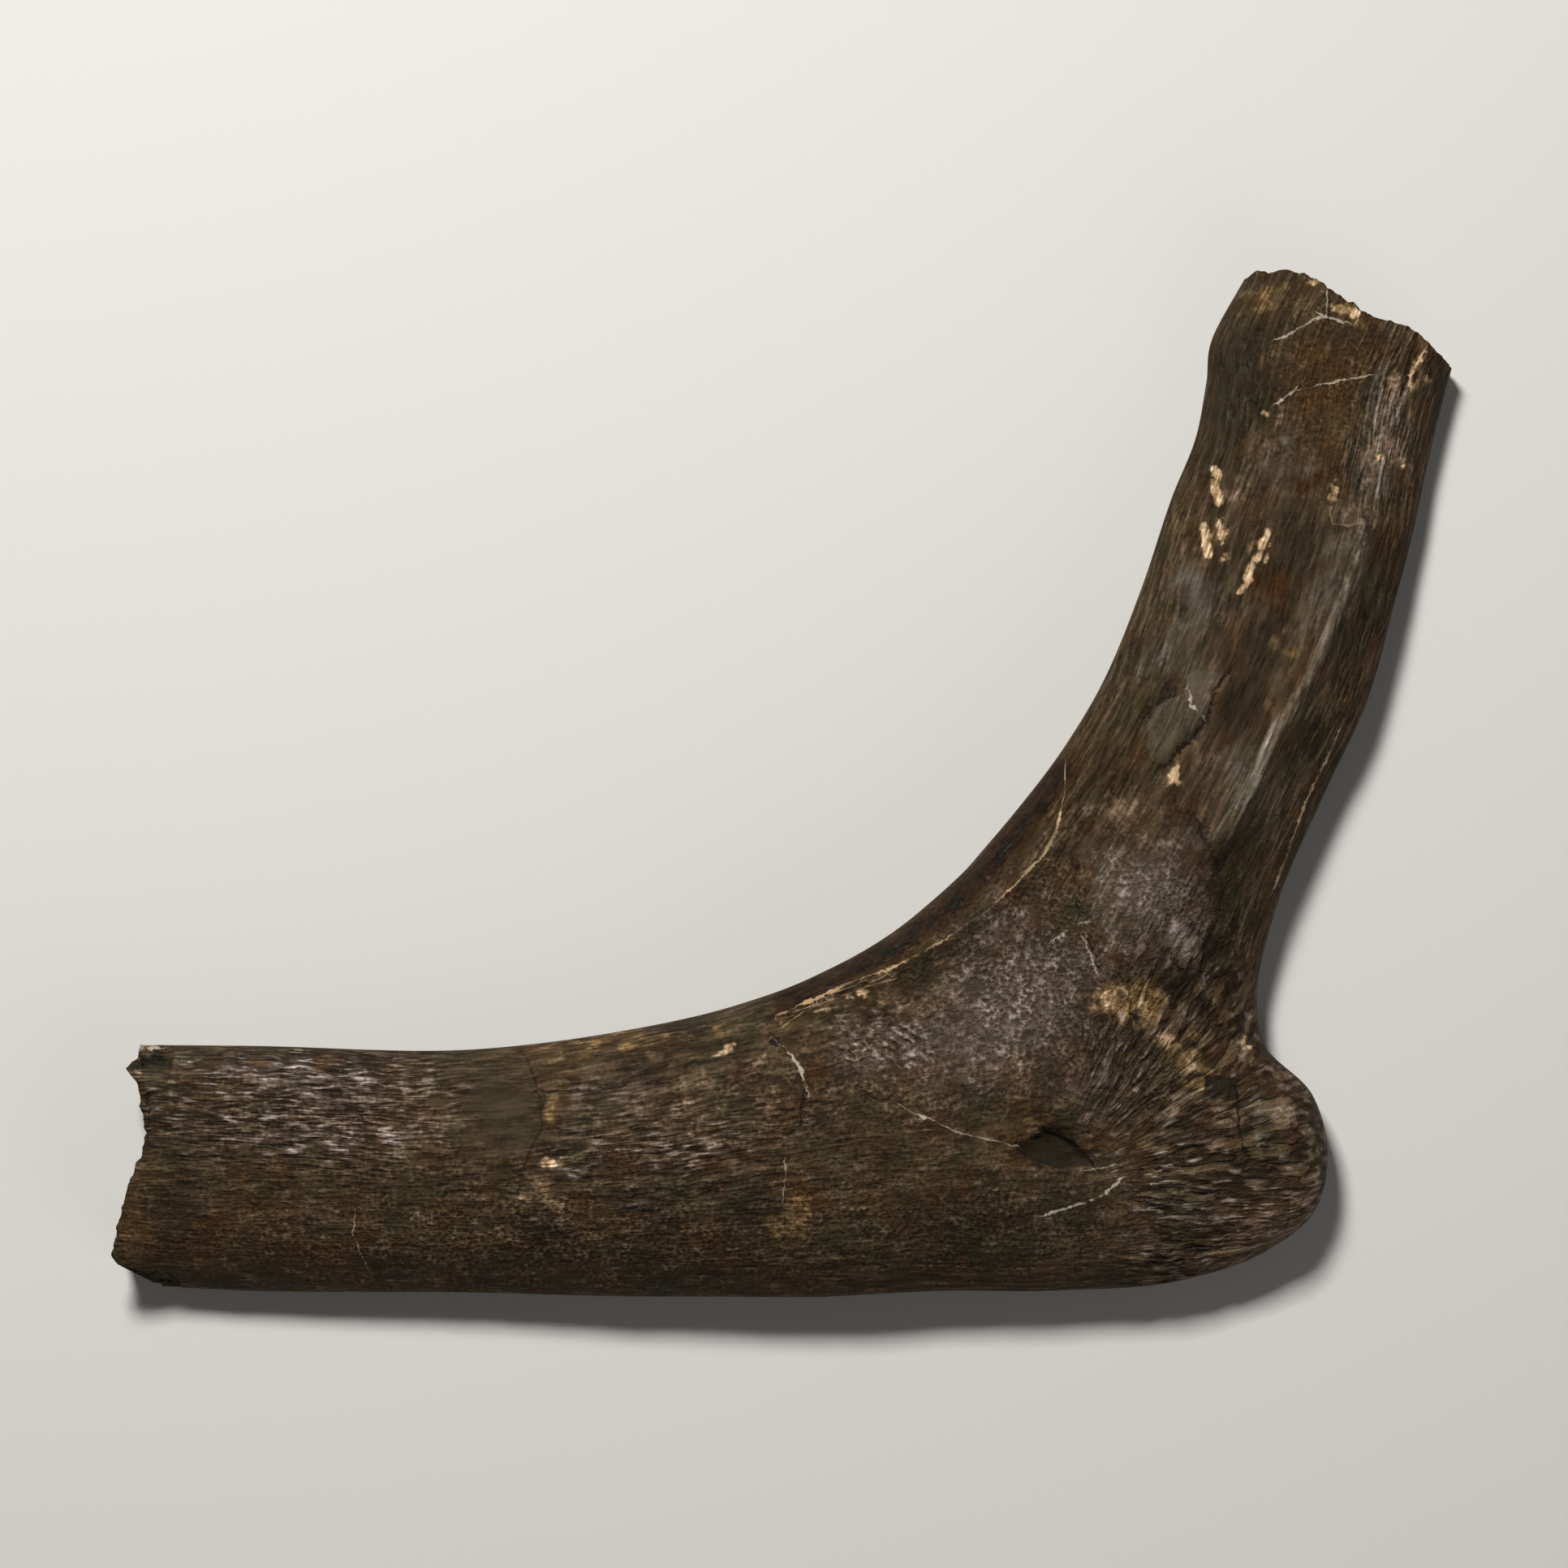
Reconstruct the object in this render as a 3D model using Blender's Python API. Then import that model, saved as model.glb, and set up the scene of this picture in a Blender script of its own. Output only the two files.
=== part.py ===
"""The head end of a dinosaur's dorsal rib, turned to stone, with a broken shaft and a broken neck.

Metres, +Z up. The rib lies on its back: +X runs along the shaft towards the tubercle, +Y points up the
neck, and +Z comes out of the face that is shown. The origin is the middle of the bounding box's floor.

The solid is a loft between unlike sections. A section is a plan line from the inner edge, along the crook,
to the outer edge, round the tubercle. Over it stands the height of the shown face, under it the back.
"""

from collections import namedtuple

import bpy
import numpy as np

MM = 0.001

# Facets: rows along the bone, facets across one face, and rows down a broken end
ALONG = 108
ACROSS = 20
DOWN = 4

# A section in millimetres: its end on the inner and on the outer edge, how far it bows towards the shaft,
# the height of the shown face at the inner edge, at one third, at two thirds and at the outer edge, how far
# in the inner and the outer margin are rounded, and how far the back clears the surface that the rib lies
# on. A back that would reach below that surface is flat on it: the shaft's end, the tubercle, the neck's end.
Section = namedtuple("Section", "inner outer bow heights rounds lift")
SHAFT = [
    Section((-135.0, -54.8), (-130.5, -105.7), 0, (15.0, 23.5, 21.0, 14.0), (7.0, 12.0), -0.5),
    Section((-113.5, -55.0), (-113.5, -106.5), 0, (15.5, 24.5, 22.0, 15.0), (7.0, 12.0), -0.8),
    Section((-62.5, -55.5), (-62.5, -106.8), 0, (17.2, 26.2, 24.2, 17.2), (7.0, 12.0), 1.6),
    Section((-37.0, -52.3), (-35.0, -107.4), 0, (18.2, 27.5, 25.7, 18.7), (6.0, 12.0), 3.4),
    Section((-16.0, -48.0), (-13.0, -107.4), 0, (19.6, 28.1, 26.6, 19.6), (5.0, 12.0), 4.4),
]
BODY = [
    Section((-1.0, -43.3), (8.0, -107.4), 0, (21.3, 28.3, 27.0, 20.3), (5.0, 12.0), 4.8),
    Section((9.0, -38.9), (32.0, -106.2), 1, (24.4, 27.9, 26.4, 20.4), (6.0, 12.0), 4.2),
    Section((18.0, -34.1), (58.0, -106.2), 3, (26.5, 27.3, 25.5, 19.5), (7.0, 11.0), 2.5),
]
TUBERCLE = [
    Section((25.5, -29.0), (84.0, -104.0), 5, (27.1, 26.6, 24.6, 19.1), (8.0, 10.0), 0.8),
    Section((30.0, -25.3), (100.0, -98.7), 7.5, (27.0, 26.3, 24.0, 19.5), (8.5, 9.0), -0.2),
    Section((34.0, -21.8), (111.3, -89.7), 10, (27.3, 26.6, 24.2, 20.5), (9.0, 8.0), -0.6),
    Section((38.0, -18.0), (114.1, -78.0), 13, (27.5, 27.0, 24.6, 21.0), (10.0, 8.0), -0.8),
    Section((42.0, -13.4), (111.0, -65.4), 16, (27.5, 27.3, 25.0, 20.5), (11.0, 8.0), -0.5),
    Section((47.0, -7.5), (101.2, -55.2), 16, (27.5, 27.8, 25.7, 18.7), (12.0, 7.0), 0.5),
]
NECK = [
    Section((53.0, 0.0), (99.3, -45.0), 13, (27.9, 28.9, 27.4, 16.9), (12.0, 7.0), 1.7),
    Section((60.0, 9.9), (103.4, -25.4), 8, (27.0, 29.5, 28.0, 16.5), (11.0, 8.0), 3.6),
    Section((67.5, 23.0), (112.7, -3.3), 3, (23.5, 25.5, 25.5, 16.5), (9.5, 9.0), 5.2),
    Section((75.0, 41.5), (122.1, 17.1), 0, (19.9, 21.9, 23.4, 16.9), (8.0, 9.0), 5.6),
    Section((81.3, 60.1), (128.0, 37.5), 0, (17.6, 19.1, 21.1, 15.6), (8.0, 9.0), 4.2),
    Section((86.4, 72.7), (132.3, 53.6), 0, (16.7, 17.7, 19.2, 14.2), (8.0, 9.0), 1.8),
    Section((88.7, 84.2), (135.7, 68.9), 0, (16.0, 17.5, 18.0, 13.5), (8.0, 8.0), -0.4),
    Section((90.3, 94.4), (139.1, 82.5), 0, (16.0, 18.0, 17.5, 13.5), (7.0, 8.0), -0.9),
    Section((96.7, 106.0), (140.4, 87.1), 0, (14.5, 17.5, 16.5, 13.0), (6.0, 7.0), -0.6),
]
SECTIONS = SHAFT + BODY + TUBERCLE + NECK
HEIGHT_SHARES = (0.0, 1 / 3, 2 / 3, 1.0)

# A broken end: the way that it faces, how far along the bone its jag fades out, and how far the bone
# reaches past the last section, at shares from the inner to the outer edge
Break = namedtuple("Break", "facing fade reach")
SHAFT_BREAK = Break(
    facing=(-1.0, 0.0),
    fade=34.0,
    reach=(
        (0.0, 0.3), (0.05, 0.3), (0.09, 2.8), (0.15, 0.4), (0.34, -0.6), (0.44, 0.7),
        (0.53, 3.2), (0.74, 7.3), (0.86, 9.2), (0.92, 7.5), (1.0, 0.0),
    ),
)
NECK_BREAK = Break(
    facing=(0.396, 0.918),
    fade=18.0,
    reach=(
        (0.0, 0.0), (0.03, 2.3), (0.08, 2.4), (0.14, 4.7), (0.28, 5.2), (0.37, 4.2),
        (0.58, 2.6), (0.70, 3.7), (0.78, 3.7), (0.85, 2.4), (1.0, 0.0),
    ),
)
CORE_DENT = 1.6

# The widest outline stands at this share of the way from the back up to the shown face
EDGE_SHARE = 0.42
BACK_ROUND_SHARE = 0.85

# The back is crowned: it is lowest at one share of the way across, and this much higher at the inner edge
BACK_LOWEST = 0.6
BACK_CROWN = 2.6

# Crests stand on a face: their line in plan, their height (a groove's is negative) and their width
Crest = namedtuple("Crest", "path height width")
SHOWN_CRESTS = [
    # The sharp ridge up the neck, which splits its smooth trough from its fibrous flank
    Crest(
        [(119.5, 53.6), (117.0, 42.0), (112.7, 31.5), (107.6, 19.6), (102.5, 7.7), (95.7, -2.5), (89.8, -12.7)],
        3.2,
        4.0,
    ),
    # The lip along the crook
    Crest([(-1.0, -47.0), (22.6, -37.6), (36.2, -28.8), (51.5, -17.8), (57.0, -12.0)], 1.6, 3.0),
    # The rounded swelling where the neck meets the shaft
    Crest([(72.0, -32.0), (78.0, -18.0)], 1.6, 10.0),
]
BACK_CRESTS = [
    # The groove along the shaft's back, near the crook, and the dip up the neck's back
    Crest([(-145.0, -75.0), (-60.0, -74.0), (0.0, -66.0), (30.0, -54.0)], -1.8, 7.0),
    Crest([(72.0, -2.0), (97.0, 30.0), (106.0, 60.0)], -1.4, 8.0),
]

# Hollows sunk in the shown face: middle, half length, half width, turn in degrees and depth
Hollow = namedtuple("Hollow", "middle length width turn depth")
HOLLOWS = [
    # The trough up the neck
    Hollow((96.0, 30.0), 32.0, 9.0, 68.0, 1.8),
    # The chipped pocket before the tubercle
    Hollow((57.5, -75.5), 10.0, 5.0, -22.0, 2.6),
    # The dip behind the lip
    Hollow((24.0, -56.0), 15.0, 7.0, 25.0, 1.2),
    # The notch between the tubercle and the neck
    Hollow((94.0, -47.0), 9.0, 5.0, 60.0, 2.0),
    # Two dents in the tubercle's rough face
    Hollow((101.0, -82.5), 8.0, 4.5, -4.0, 1.6),
    Hollow((89.0, -95.5), 9.0, 4.0, 4.0, 1.4),
]

# The tubercle's coarse ridges fan out from one point: its place, how far off they start and are full,
# how far round they are full and end, the angle between two ridges, and their height
FAN_MIDDLE = (62.0, -80.0)
FAN_START, FAN_FULL = 16.0, 34.0
FAN_SIDE_FULL, FAN_SIDE_END = 45.0, 75.0
FAN_PITCH = 15.0
FAN_HEIGHT = 0.8

BONE_COLOUR = (0.066, 0.043, 0.026, 1.0)
BONE_ROUGHNESS = 0.55


def smooth(knots, values, at):
    """The cubic curve through the values, whose slope at each comes from its two neighbours."""
    knots = np.asarray(knots, float)
    values = np.asarray(values, float)
    slopes = np.gradient(values, knots, axis=0)
    low = np.clip(np.searchsorted(knots, at, side="right") - 1, 0, len(knots) - 2)
    step = knots[low + 1] - knots[low]
    t = (at - knots[low]) / step
    if values.ndim > 1:
        t, step = t[..., None], step[..., None]
    return (
        (1 + 2 * t) * (1 - t) ** 2 * values[low]
        + t * (1 - t) ** 2 * step * slopes[low]
        + t**2 * (3 - 2 * t) * values[low + 1]
        + t**2 * (t - 1) * step * slopes[low + 1]
    )


def from_path(points, path):
    """The shortest distance in plan from each point to a path of straight runs."""
    path = np.asarray(path, float)
    start, run = path[:-1], np.diff(path, axis=0)
    reach = points[..., None, :] - start
    share = np.clip((reach * run).sum(-1) / (run**2).sum(-1), 0, 1)
    return np.linalg.norm(reach - share[..., None] * run, axis=-1).min(-1)


def fade_in(values, start, full):
    """0 up to start, 1 from full on, and a smooth step between."""
    t = np.clip((values - start) / (full - start), 0, 1)
    return t * t * (3 - 2 * t)


def rounded(share):
    """A quarter circle: 0 at the margin, 1 from a share of 1 inwards."""
    return np.sqrt(1 - (1 - np.clip(share, 0, 1)) ** 2)


def jag(broken, share, distance):
    """How far each plan point of a broken end is pushed out: the end's own reach, fading along the bone."""
    at, reach = np.transpose(broken.reach)
    fade = np.clip(1 - distance / broken.fade, 0, 1) ** 2
    return (np.interp(share, at, reach) * fade)[..., None] * np.array(broken.facing)


def plan(knots, along, across):
    """The plan point of each place: across is its share of the way from the inner edge to the outer one."""
    inner = smooth(knots, [s.inner for s in SECTIONS], along)
    run = smooth(knots, [s.outer for s in SECTIONS], along) - inner
    square = np.stack([run[..., 1], -run[..., 0]], -1) / np.linalg.norm(run, axis=-1, keepdims=True)
    bow = smooth(knots, [float(s.bow) for s in SECTIONS], along) * 4 * across * (1 - across)
    points = inner + across[..., None] * run + bow[..., None] * square
    points += jag(SHAFT_BREAK, across, along)
    points += jag(NECK_BREAK, across, knots[-1] - along)
    return points


def crested(points, crests):
    """The height that the crests add, highest on each one's line."""
    return sum(c.height * np.exp(-((from_path(points, c.path) / c.width) ** 2)) for c in crests)


def hollowed(points):
    """The depth of the hollows, each an oval bowl."""
    depth = 0
    for hollow in HOLLOWS:
        turn = np.radians(hollow.turn)
        away = points - hollow.middle
        along = away @ (np.cos(turn), np.sin(turn)) / hollow.length
        across = away @ (-np.sin(turn), np.cos(turn)) / hollow.width
        depth = depth + hollow.depth * np.exp(-(along**2) - across**2)
    return depth


def fanned(points):
    """The tubercle's ridges: a wave round the fan's middle, which grows outwards."""
    away = points - FAN_MIDDLE
    angle = np.degrees(np.arctan2(away[..., 1], away[..., 0]))
    reach = fade_in(np.linalg.norm(away, axis=-1), FAN_START, FAN_FULL)
    side = 1 - fade_in(np.abs(angle), FAN_SIDE_FULL, FAN_SIDE_END)
    return FAN_HEIGHT * reach * side * np.cos(2 * np.pi * angle / FAN_PITCH)


def faces_of_bone(knots, along, across):
    """The shown face and the back, as two grids of points that share their first and last columns."""
    points = plan(knots, along, across)
    rows = along[:, 0]
    heights = smooth(knots, [s.heights for s in SECTIONS], rows)
    rounds = smooth(knots, [s.rounds for s in SECTIONS], rows)
    lift = smooth(knots, [s.lift for s in SECTIONS], rows)

    top = np.array([smooth(HEIGHT_SHARES, row, across[0]) for row in heights])
    top += crested(points, SHOWN_CRESTS) - hollowed(points) + fanned(points)
    back = lift[:, None] + BACK_CROWN * (across / BACK_LOWEST - 1) ** 2 - crested(points, BACK_CRESTS)
    back = np.maximum(back, 0)

    edge = back + EDGE_SHARE * (top - back)
    edge = edge[:, :1] + across * (edge[:, -1:] - edge[:, :1])
    to_inner = from_path(points, points[:, 0]) / rounds[:, :1]
    to_outer = from_path(points, points[:, -1]) / rounds[:, 1:]
    nearest = np.minimum(to_inner, to_outer)
    shown = edge + (top - edge) * rounded(nearest)
    under = edge + (back - edge) * rounded(nearest / BACK_ROUND_SHARE)
    return np.dstack([points, shown]), np.dstack([points, under])


def end_face(shown, under, facing):
    """A broken end: rows from the shown face down to the back, dented in the middle."""
    share = np.linspace(0, 1, DOWN + 1)[1:-1, None, None]
    face = shown + share * (under - shown)
    thick = np.linalg.norm(shown - under, axis=1)
    dent = CORE_DENT * np.sin(np.pi * share[..., 0]) * thick / thick.max()
    face[..., :2] -= dent[..., None] * np.array(facing)
    return face


def triangles(index):
    """Two triangles for each square of a grid of point numbers, without those that have no width."""
    a, b, c, d = index[:-1, :-1], index[:-1, 1:], index[1:, 1:], index[1:, :-1]
    found = np.concatenate([np.stack(t, -1).reshape(-1, 3) for t in ((a, b, c), (a, c, d))])
    wide = (found[:, 0] != found[:, 1]) & (found[:, 1] != found[:, 2]) & (found[:, 2] != found[:, 0])
    return found[wide]


def section_knots():
    """Where each section stands along the bone, in millimetres, as the mean of both edges."""
    edges = np.array([(s.inner, s.outer) for s in SECTIONS])
    steps = np.linalg.norm(np.diff(edges, axis=0), axis=-1).mean(-1)
    return np.concatenate([[0], np.cumsum(steps)])


def bone_mesh():
    """The shown face, the back and the two broken ends, sewn along their shared points."""
    knots = section_knots()
    rows = np.linspace(0, knots[-1], ALONG + 1)
    shares = (1 - np.cos(np.pi * np.arange(ACROSS + 1) / ACROSS)) / 2
    along, across = np.meshgrid(rows, shares, indexing="ij")
    shown, under = faces_of_bone(knots, along, across)

    points = [shown.reshape(-1, 3), under[:, 1:-1].reshape(-1, 3)]
    shown_index = np.arange(shown[..., 0].size).reshape(along.shape)
    under_index = shown_index.copy()
    under_index[:, 1:-1] = shown_index.size + np.arange(len(points[1])).reshape(ALONG + 1, -1)
    faces = [triangles(shown_index), triangles(under_index)[:, ::-1]]
    for row, broken in ((0, SHAFT_BREAK), (-1, NECK_BREAK)):
        face = end_face(shown[row], under[row], broken.facing)[:, 1:-1]
        index = np.tile(shown_index[row], (DOWN + 1, 1))
        index[-1] = under_index[row]
        index[1:-1, 1:-1] = sum(map(len, points)) + np.arange(face[..., 0].size).reshape(DOWN - 1, -1)
        points.append(face.reshape(-1, 3))
        faces.append(triangles(index if row else index[::-1]))

    mesh = bpy.data.meshes.new("rib")
    mesh.from_pydata((np.concatenate(points) * MM).tolist(), [], np.concatenate(faces).tolist())
    mesh.shade_smooth()
    return mesh


def bone_material():
    """Fossil bone: brown, mineral-filled, with the dull shine of a surface that was cleaned and sealed."""
    material = bpy.data.materials.new("fossil_bone")
    material.use_nodes = True
    shader = material.node_tree.nodes["Principled BSDF"]
    shader.inputs["Base Color"].default_value = BONE_COLOUR
    shader.inputs["Roughness"].default_value = BONE_ROUGHNESS
    shader.inputs["Metallic"].default_value = 0.0
    return material


def main():
    for old in list(bpy.data.objects):
        bpy.data.objects.remove(old)
    collection = bpy.data.collections.new("fossil_rib")
    bpy.context.scene.collection.children.link(collection)
    rib = bpy.data.objects.new("rib", bone_mesh())
    rib.data.materials.append(bone_material())
    collection.objects.link(rib)


main()
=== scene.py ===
"""The head end of a dinosaur's dorsal rib, turned to stone: its finished look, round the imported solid.

Tables are in millimetres and meshes in metres, +Z up. The rib lies on its back: +X runs along the shaft
towards the tubercle, +Y points up the neck, and +Z comes out of the face that is shown. The surface is the
solid's own loft on a finer grid, with the relief of the fossil worked into it: fibres along the bone,
ridges that fan out over the tubercle, worn flakes, pits, glued breaks and chips.
"""

from collections import namedtuple

import bpy
import numpy as np
from bpy.props import FloatProperty, FloatVectorProperty, PointerProperty
from bpy.types import Operator, Panel, PropertyGroup
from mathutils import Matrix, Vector


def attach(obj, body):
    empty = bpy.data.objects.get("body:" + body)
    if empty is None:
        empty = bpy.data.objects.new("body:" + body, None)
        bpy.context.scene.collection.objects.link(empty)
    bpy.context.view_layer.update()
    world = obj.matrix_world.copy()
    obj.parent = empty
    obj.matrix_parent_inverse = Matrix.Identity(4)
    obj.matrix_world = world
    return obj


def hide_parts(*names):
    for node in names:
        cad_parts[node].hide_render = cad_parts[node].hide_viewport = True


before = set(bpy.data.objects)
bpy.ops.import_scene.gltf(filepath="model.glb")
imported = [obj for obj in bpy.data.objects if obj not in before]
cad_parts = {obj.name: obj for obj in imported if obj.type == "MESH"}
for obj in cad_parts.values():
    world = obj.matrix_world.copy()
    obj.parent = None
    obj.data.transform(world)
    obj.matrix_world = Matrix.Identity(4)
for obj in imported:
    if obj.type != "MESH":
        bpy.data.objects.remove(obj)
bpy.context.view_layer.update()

bl_info = {
    "name": "Fossil Rib",
    "version": (1, 0, 0),
    "blender": (4, 5, 0),
    "location": "View3D > Sidebar > Fossil Rib",
    "description": "Builds a fossil rib with its broken ends and finish, and the floor and lights round it",
    "category": "Add Mesh",
}

MM = 0.001

# The grids: rows along the bone, columns across the shown face and across the back, rows down a broken end
ALONG, ACROSS = 600, 120
BACK_ALONG, BACK_ACROSS = ALONG // 2, ACROSS // 2
DOWN = 16

# The share of the width that each rounded margin takes, so that the columns stand evenly round it
MARGIN_SHARE = 0.16

# Waves of noise: their height, their length and width in millimetres, their seed, and how many layers they
# have, each of which is half as wide and half as high as the one before
Wave = namedtuple("Wave", "size length width seed layers", defaults=[1])

# A section in millimetres: its end on the inner and on the outer edge, how far it bows towards the shaft,
# the height of the shown face at the inner edge, at one third, at two thirds and at the outer edge, how far
# in the inner and the outer margin are rounded, and how far the back clears what the rib lies on
Section = namedtuple("Section", "inner outer bow heights rounds lift")
SHAFT = [
    Section((-135, -54.8), (-130.5, -105.7), 0, (15, 23.5, 21, 14), (7, 12), -0.5),
    Section((-113.5, -55), (-113.5, -106.5), 0, (15.5, 24.5, 22, 15), (7, 12), -0.8),
    Section((-62.5, -55.5), (-62.5, -106.8), 0, (17.2, 26.2, 24.2, 17.2), (7, 12), 1.6),
    Section((-37, -52.3), (-35, -107.4), 0, (18.2, 27.5, 25.7, 18.7), (6, 12), 3.4),
    Section((-16, -48), (-13, -107.4), 0, (19.6, 28.1, 26.6, 19.6), (5, 12), 4.4),
]
BODY = [
    Section((-1, -43.3), (8, -107.4), 0, (21.3, 28.3, 27, 20.3), (5, 12), 4.8),
    Section((9, -38.9), (32, -106.2), 1, (24.4, 27.9, 26.4, 20.4), (6, 12), 4.2),
    Section((18, -34.1), (58, -106.2), 3, (26.5, 27.3, 25.5, 19.5), (7, 11), 2.5),
]
TUBERCLE = [
    Section((25.5, -29), (84, -104), 5, (27.1, 26.6, 24.6, 19.1), (8, 10), 0.8),
    Section((30, -25.3), (100, -98.7), 7.5, (27, 26.3, 24, 19.5), (8.5, 9), -0.2),
    Section((34, -21.8), (111.3, -89.7), 10, (27.3, 26.6, 24.2, 20.5), (9, 8), -0.6),
    Section((38, -18), (114.1, -78), 13, (27.5, 27, 24.6, 21), (10, 8), -0.8),
    Section((42, -13.4), (111, -65.4), 16, (27.5, 27.3, 25, 20.5), (11, 8), -0.5),
    Section((47, -7.5), (101.2, -55.2), 16, (27.5, 27.8, 25.7, 18.7), (12, 7), 0.5),
]
NECK = [
    Section((53, 0), (99.3, -45), 13, (27.9, 28.9, 27.4, 16.9), (12, 7), 1.7),
    Section((60, 9.9), (103.4, -25.4), 8, (27, 29.5, 28, 16.5), (11, 8), 3.6),
    Section((67.5, 23), (112.7, -3.3), 3, (23.5, 25.5, 25.5, 16.5), (9.5, 9), 5.2),
    Section((75, 41.5), (122.1, 17.1), 0, (19.9, 21.9, 23.4, 16.9), (8, 9), 5.6),
    Section((81.3, 60.1), (128, 37.5), 0, (17.6, 19.1, 21.1, 15.6), (8, 9), 4.2),
    Section((86.4, 72.7), (132.3, 53.6), 0, (16.7, 17.7, 19.2, 14.2), (8, 9), 1.8),
    Section((88.7, 84.2), (135.7, 68.9), 0, (16, 17.5, 18, 13.5), (8, 8), -0.4),
    Section((90.3, 94.4), (139.1, 82.5), 0, (16, 18, 17.5, 13.5), (7, 8), -0.9),
    Section((96.7, 106), (140.4, 87.1), 0, (14.5, 17.5, 16.5, 13), (6, 7), -0.6),
]
SECTIONS = SHAFT + BODY + TUBERCLE + NECK
HEIGHT_SHARES = (0, 1 / 3, 2 / 3, 1)

# A broken end: the way that it faces, how far along the bone its jag fades out, and how far the bone
# reaches past the last section, at shares from the inner to the outer edge
Break = namedtuple("Break", "facing fade reach")
SHAFT_BREAK = Break(
    facing=(-1, 0),
    fade=34,
    reach=(
        (0, 0.3), (0.05, 0.3), (0.09, 2.8), (0.15, 0.4), (0.34, -0.6), (0.44, 0.7), (0.53, 3.2),
        (0.74, 7.3), (0.86, 9.2), (0.92, 7.5), (1, 0),
    ),
)
NECK_BREAK = Break(
    facing=(0.396, 0.918),
    fade=18,
    reach=(
        (0, 0), (0.03, 2.3), (0.08, 2.4), (0.14, 4.7), (0.28, 5.2), (0.37, 4.2), (0.58, 2.6), (0.7, 3.7),
        (0.78, 3.7), (0.85, 2.4), (1, 0),
    ),
)

# The fine splinters at the rim of a break, across its width as 1, and how far along the bone they reach
SPLINTERS, SPLINTER_FADE = Wave(0.45, 1 / 24, 1, 5, 3), 5

# The widest outline stands at this share of the way from the back up to the shown face
EDGE_SHARE = 0.42
BACK_ROUND_SHARE = 0.85

# The back is crowned: it is lowest at one share of the way across, and this much higher at the inner edge
BACK_LOWEST = 0.6
BACK_CROWN = 2.6

# Crests stand on a face: their line in plan, their height (a groove's is negative) and their width
Crest = namedtuple("Crest", "path height width")
NECK_RIDGE = [
    (119.5, 53.6), (117, 42), (112.7, 31.5), (107.6, 19.6), (102.5, 7.7), (95.7, -2.5), (89.8, -12.7),
]
LIP = [
    (-0.9, -47.9), (9.2, -43.4), (15, -40.7), (21.4, -38.5), (26, -36.3), (32.5, -32.7), (35, -31),
    (42.8, -25.6), (46.1, -22.4), (51.2, -17.6), (54.1, -14.4), (56.4, -10.1), (57.3, -6.2),
]
SHARP_RIDGE = [
    (120, 54.1), (120.4, 50.4), (118.8, 44.1), (115.1, 36.6), (113.2, 32.2), (110.7, 26.1), (108.5, 21.3),
    (105.4, 16.1), (101.7, 11), (99.1, 5.7), (97.6, 0.4), (95.9, -3.7), (91.8, -10.5),
]
FLANK_EDGE = [(115.8, 12), (113.2, 5.7), (110.5, -0.1), (107.4, -7.4), (104.4, -16.2), (101.5, -23)]
SKIN_EDGE = [(113.9, 56.5), (114.4, 54.1), (117.1, 53.6), (120, 54.1)]
SHOWN_CRESTS = [
    Crest(NECK_RIDGE, 3.2, 4),
    Crest([(-1, -47), (22.6, -37.6), (36.2, -28.8), (51.5, -17.8), (57, -12)], 1.6, 3),
    Crest([(72, -32), (78, -18)], 1.6, 10),
]
FINE_CRESTS = [
    Crest(SHARP_RIDGE, 0.8, 1.5), Crest(LIP, 0.4, 0.8),
    Crest(FLANK_EDGE, 0.3, 0.8), Crest(SKIN_EDGE, 0.4, 0.9),
    Crest([(95.2, 62.1), (101.3, 60.3), (106.4, 59.8), (110.2, 59.8)], 0.35, 1.2),
    Crest([(128.4, 84.2), (126.7, 75.7), (125, 68.9), (122.9, 62.1)], 0.5, 1.3),
    Crest([(130.6, 78.3), (129.4, 71.5), (128.4, 65.5)], -0.5, 0.9),
]
BACK_CRESTS = [
    Crest([(-145, -75), (-60, -74), (0, -66), (30, -54)], -1.8, 7),
    Crest([(72, -2), (97, 30), (106, 60)], -1.4, 8),
]

# Hollows sunk in the shown face: middle, half length, half width, turn in degrees and depth
Hollow = namedtuple("Hollow", "middle length width turn depth")
HOLLOWS = [
    Hollow((101.5, 27), 30, 7.5, 67, 2.6), Hollow((57.5, -75.5), 10, 5, -22, 2.6),
    Hollow((24, -56), 15, 7, 25, 1.2), Hollow((94, -47), 9, 5, 60, 2),
    Hollow((101, -82.5), 8, 4.5, -4, 1.6), Hollow((89, -95.5), 9, 4, 4, 1.4),
]

# The tubercle's coarse ridges fan out from one point
FAN_MIDDLE = (55, -83)
FAN_START, FAN_FULL = 9, 24
FAN_FAINT, FAN_FAINTEST = 36, 46
FAN_LAST, FAN_END = 58, 68
FAN_SIDE_FULL, FAN_SIDE_END = 62, 84
FAN_PITCH = 7.8
FAN_HEIGHT = 0.25
FAN_ROUND = 30

# Outlines of what has a clear border, in millimetres
WINDOW = [(87.6, -60.7), (88.9, -60.3), (93.5, -61.3), (94.9, -65.7), (91.8, -65.7), (87.2, -64.5)]
POCKET = [
    (48.5, -75.6), (51.1, -73.4), (54.1, -72.2), (57, -73), (59.2, -74.7), (61.7, -76.8), (63.8, -79),
    (61.7, -78.5), (57.5, -79.8), (53.2, -78.5), (49, -76.4),
]
SLOT = [(-134.4, -56.4), (-128.3, -56.2), (-128, -58.4), (-134.2, -58.7)]
LOWER_ISLAND = [
    (82.7, 18.9), (77.4, 16.1), (75.8, 13), (75.1, 8.1), (75.8, 5.1), (78.9, 3.7), (81.6, 6.5),
    (85.3, 10.5), (86.9, 12.7), (85.3, 14.9), (83.8, 16.4),
]
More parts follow.
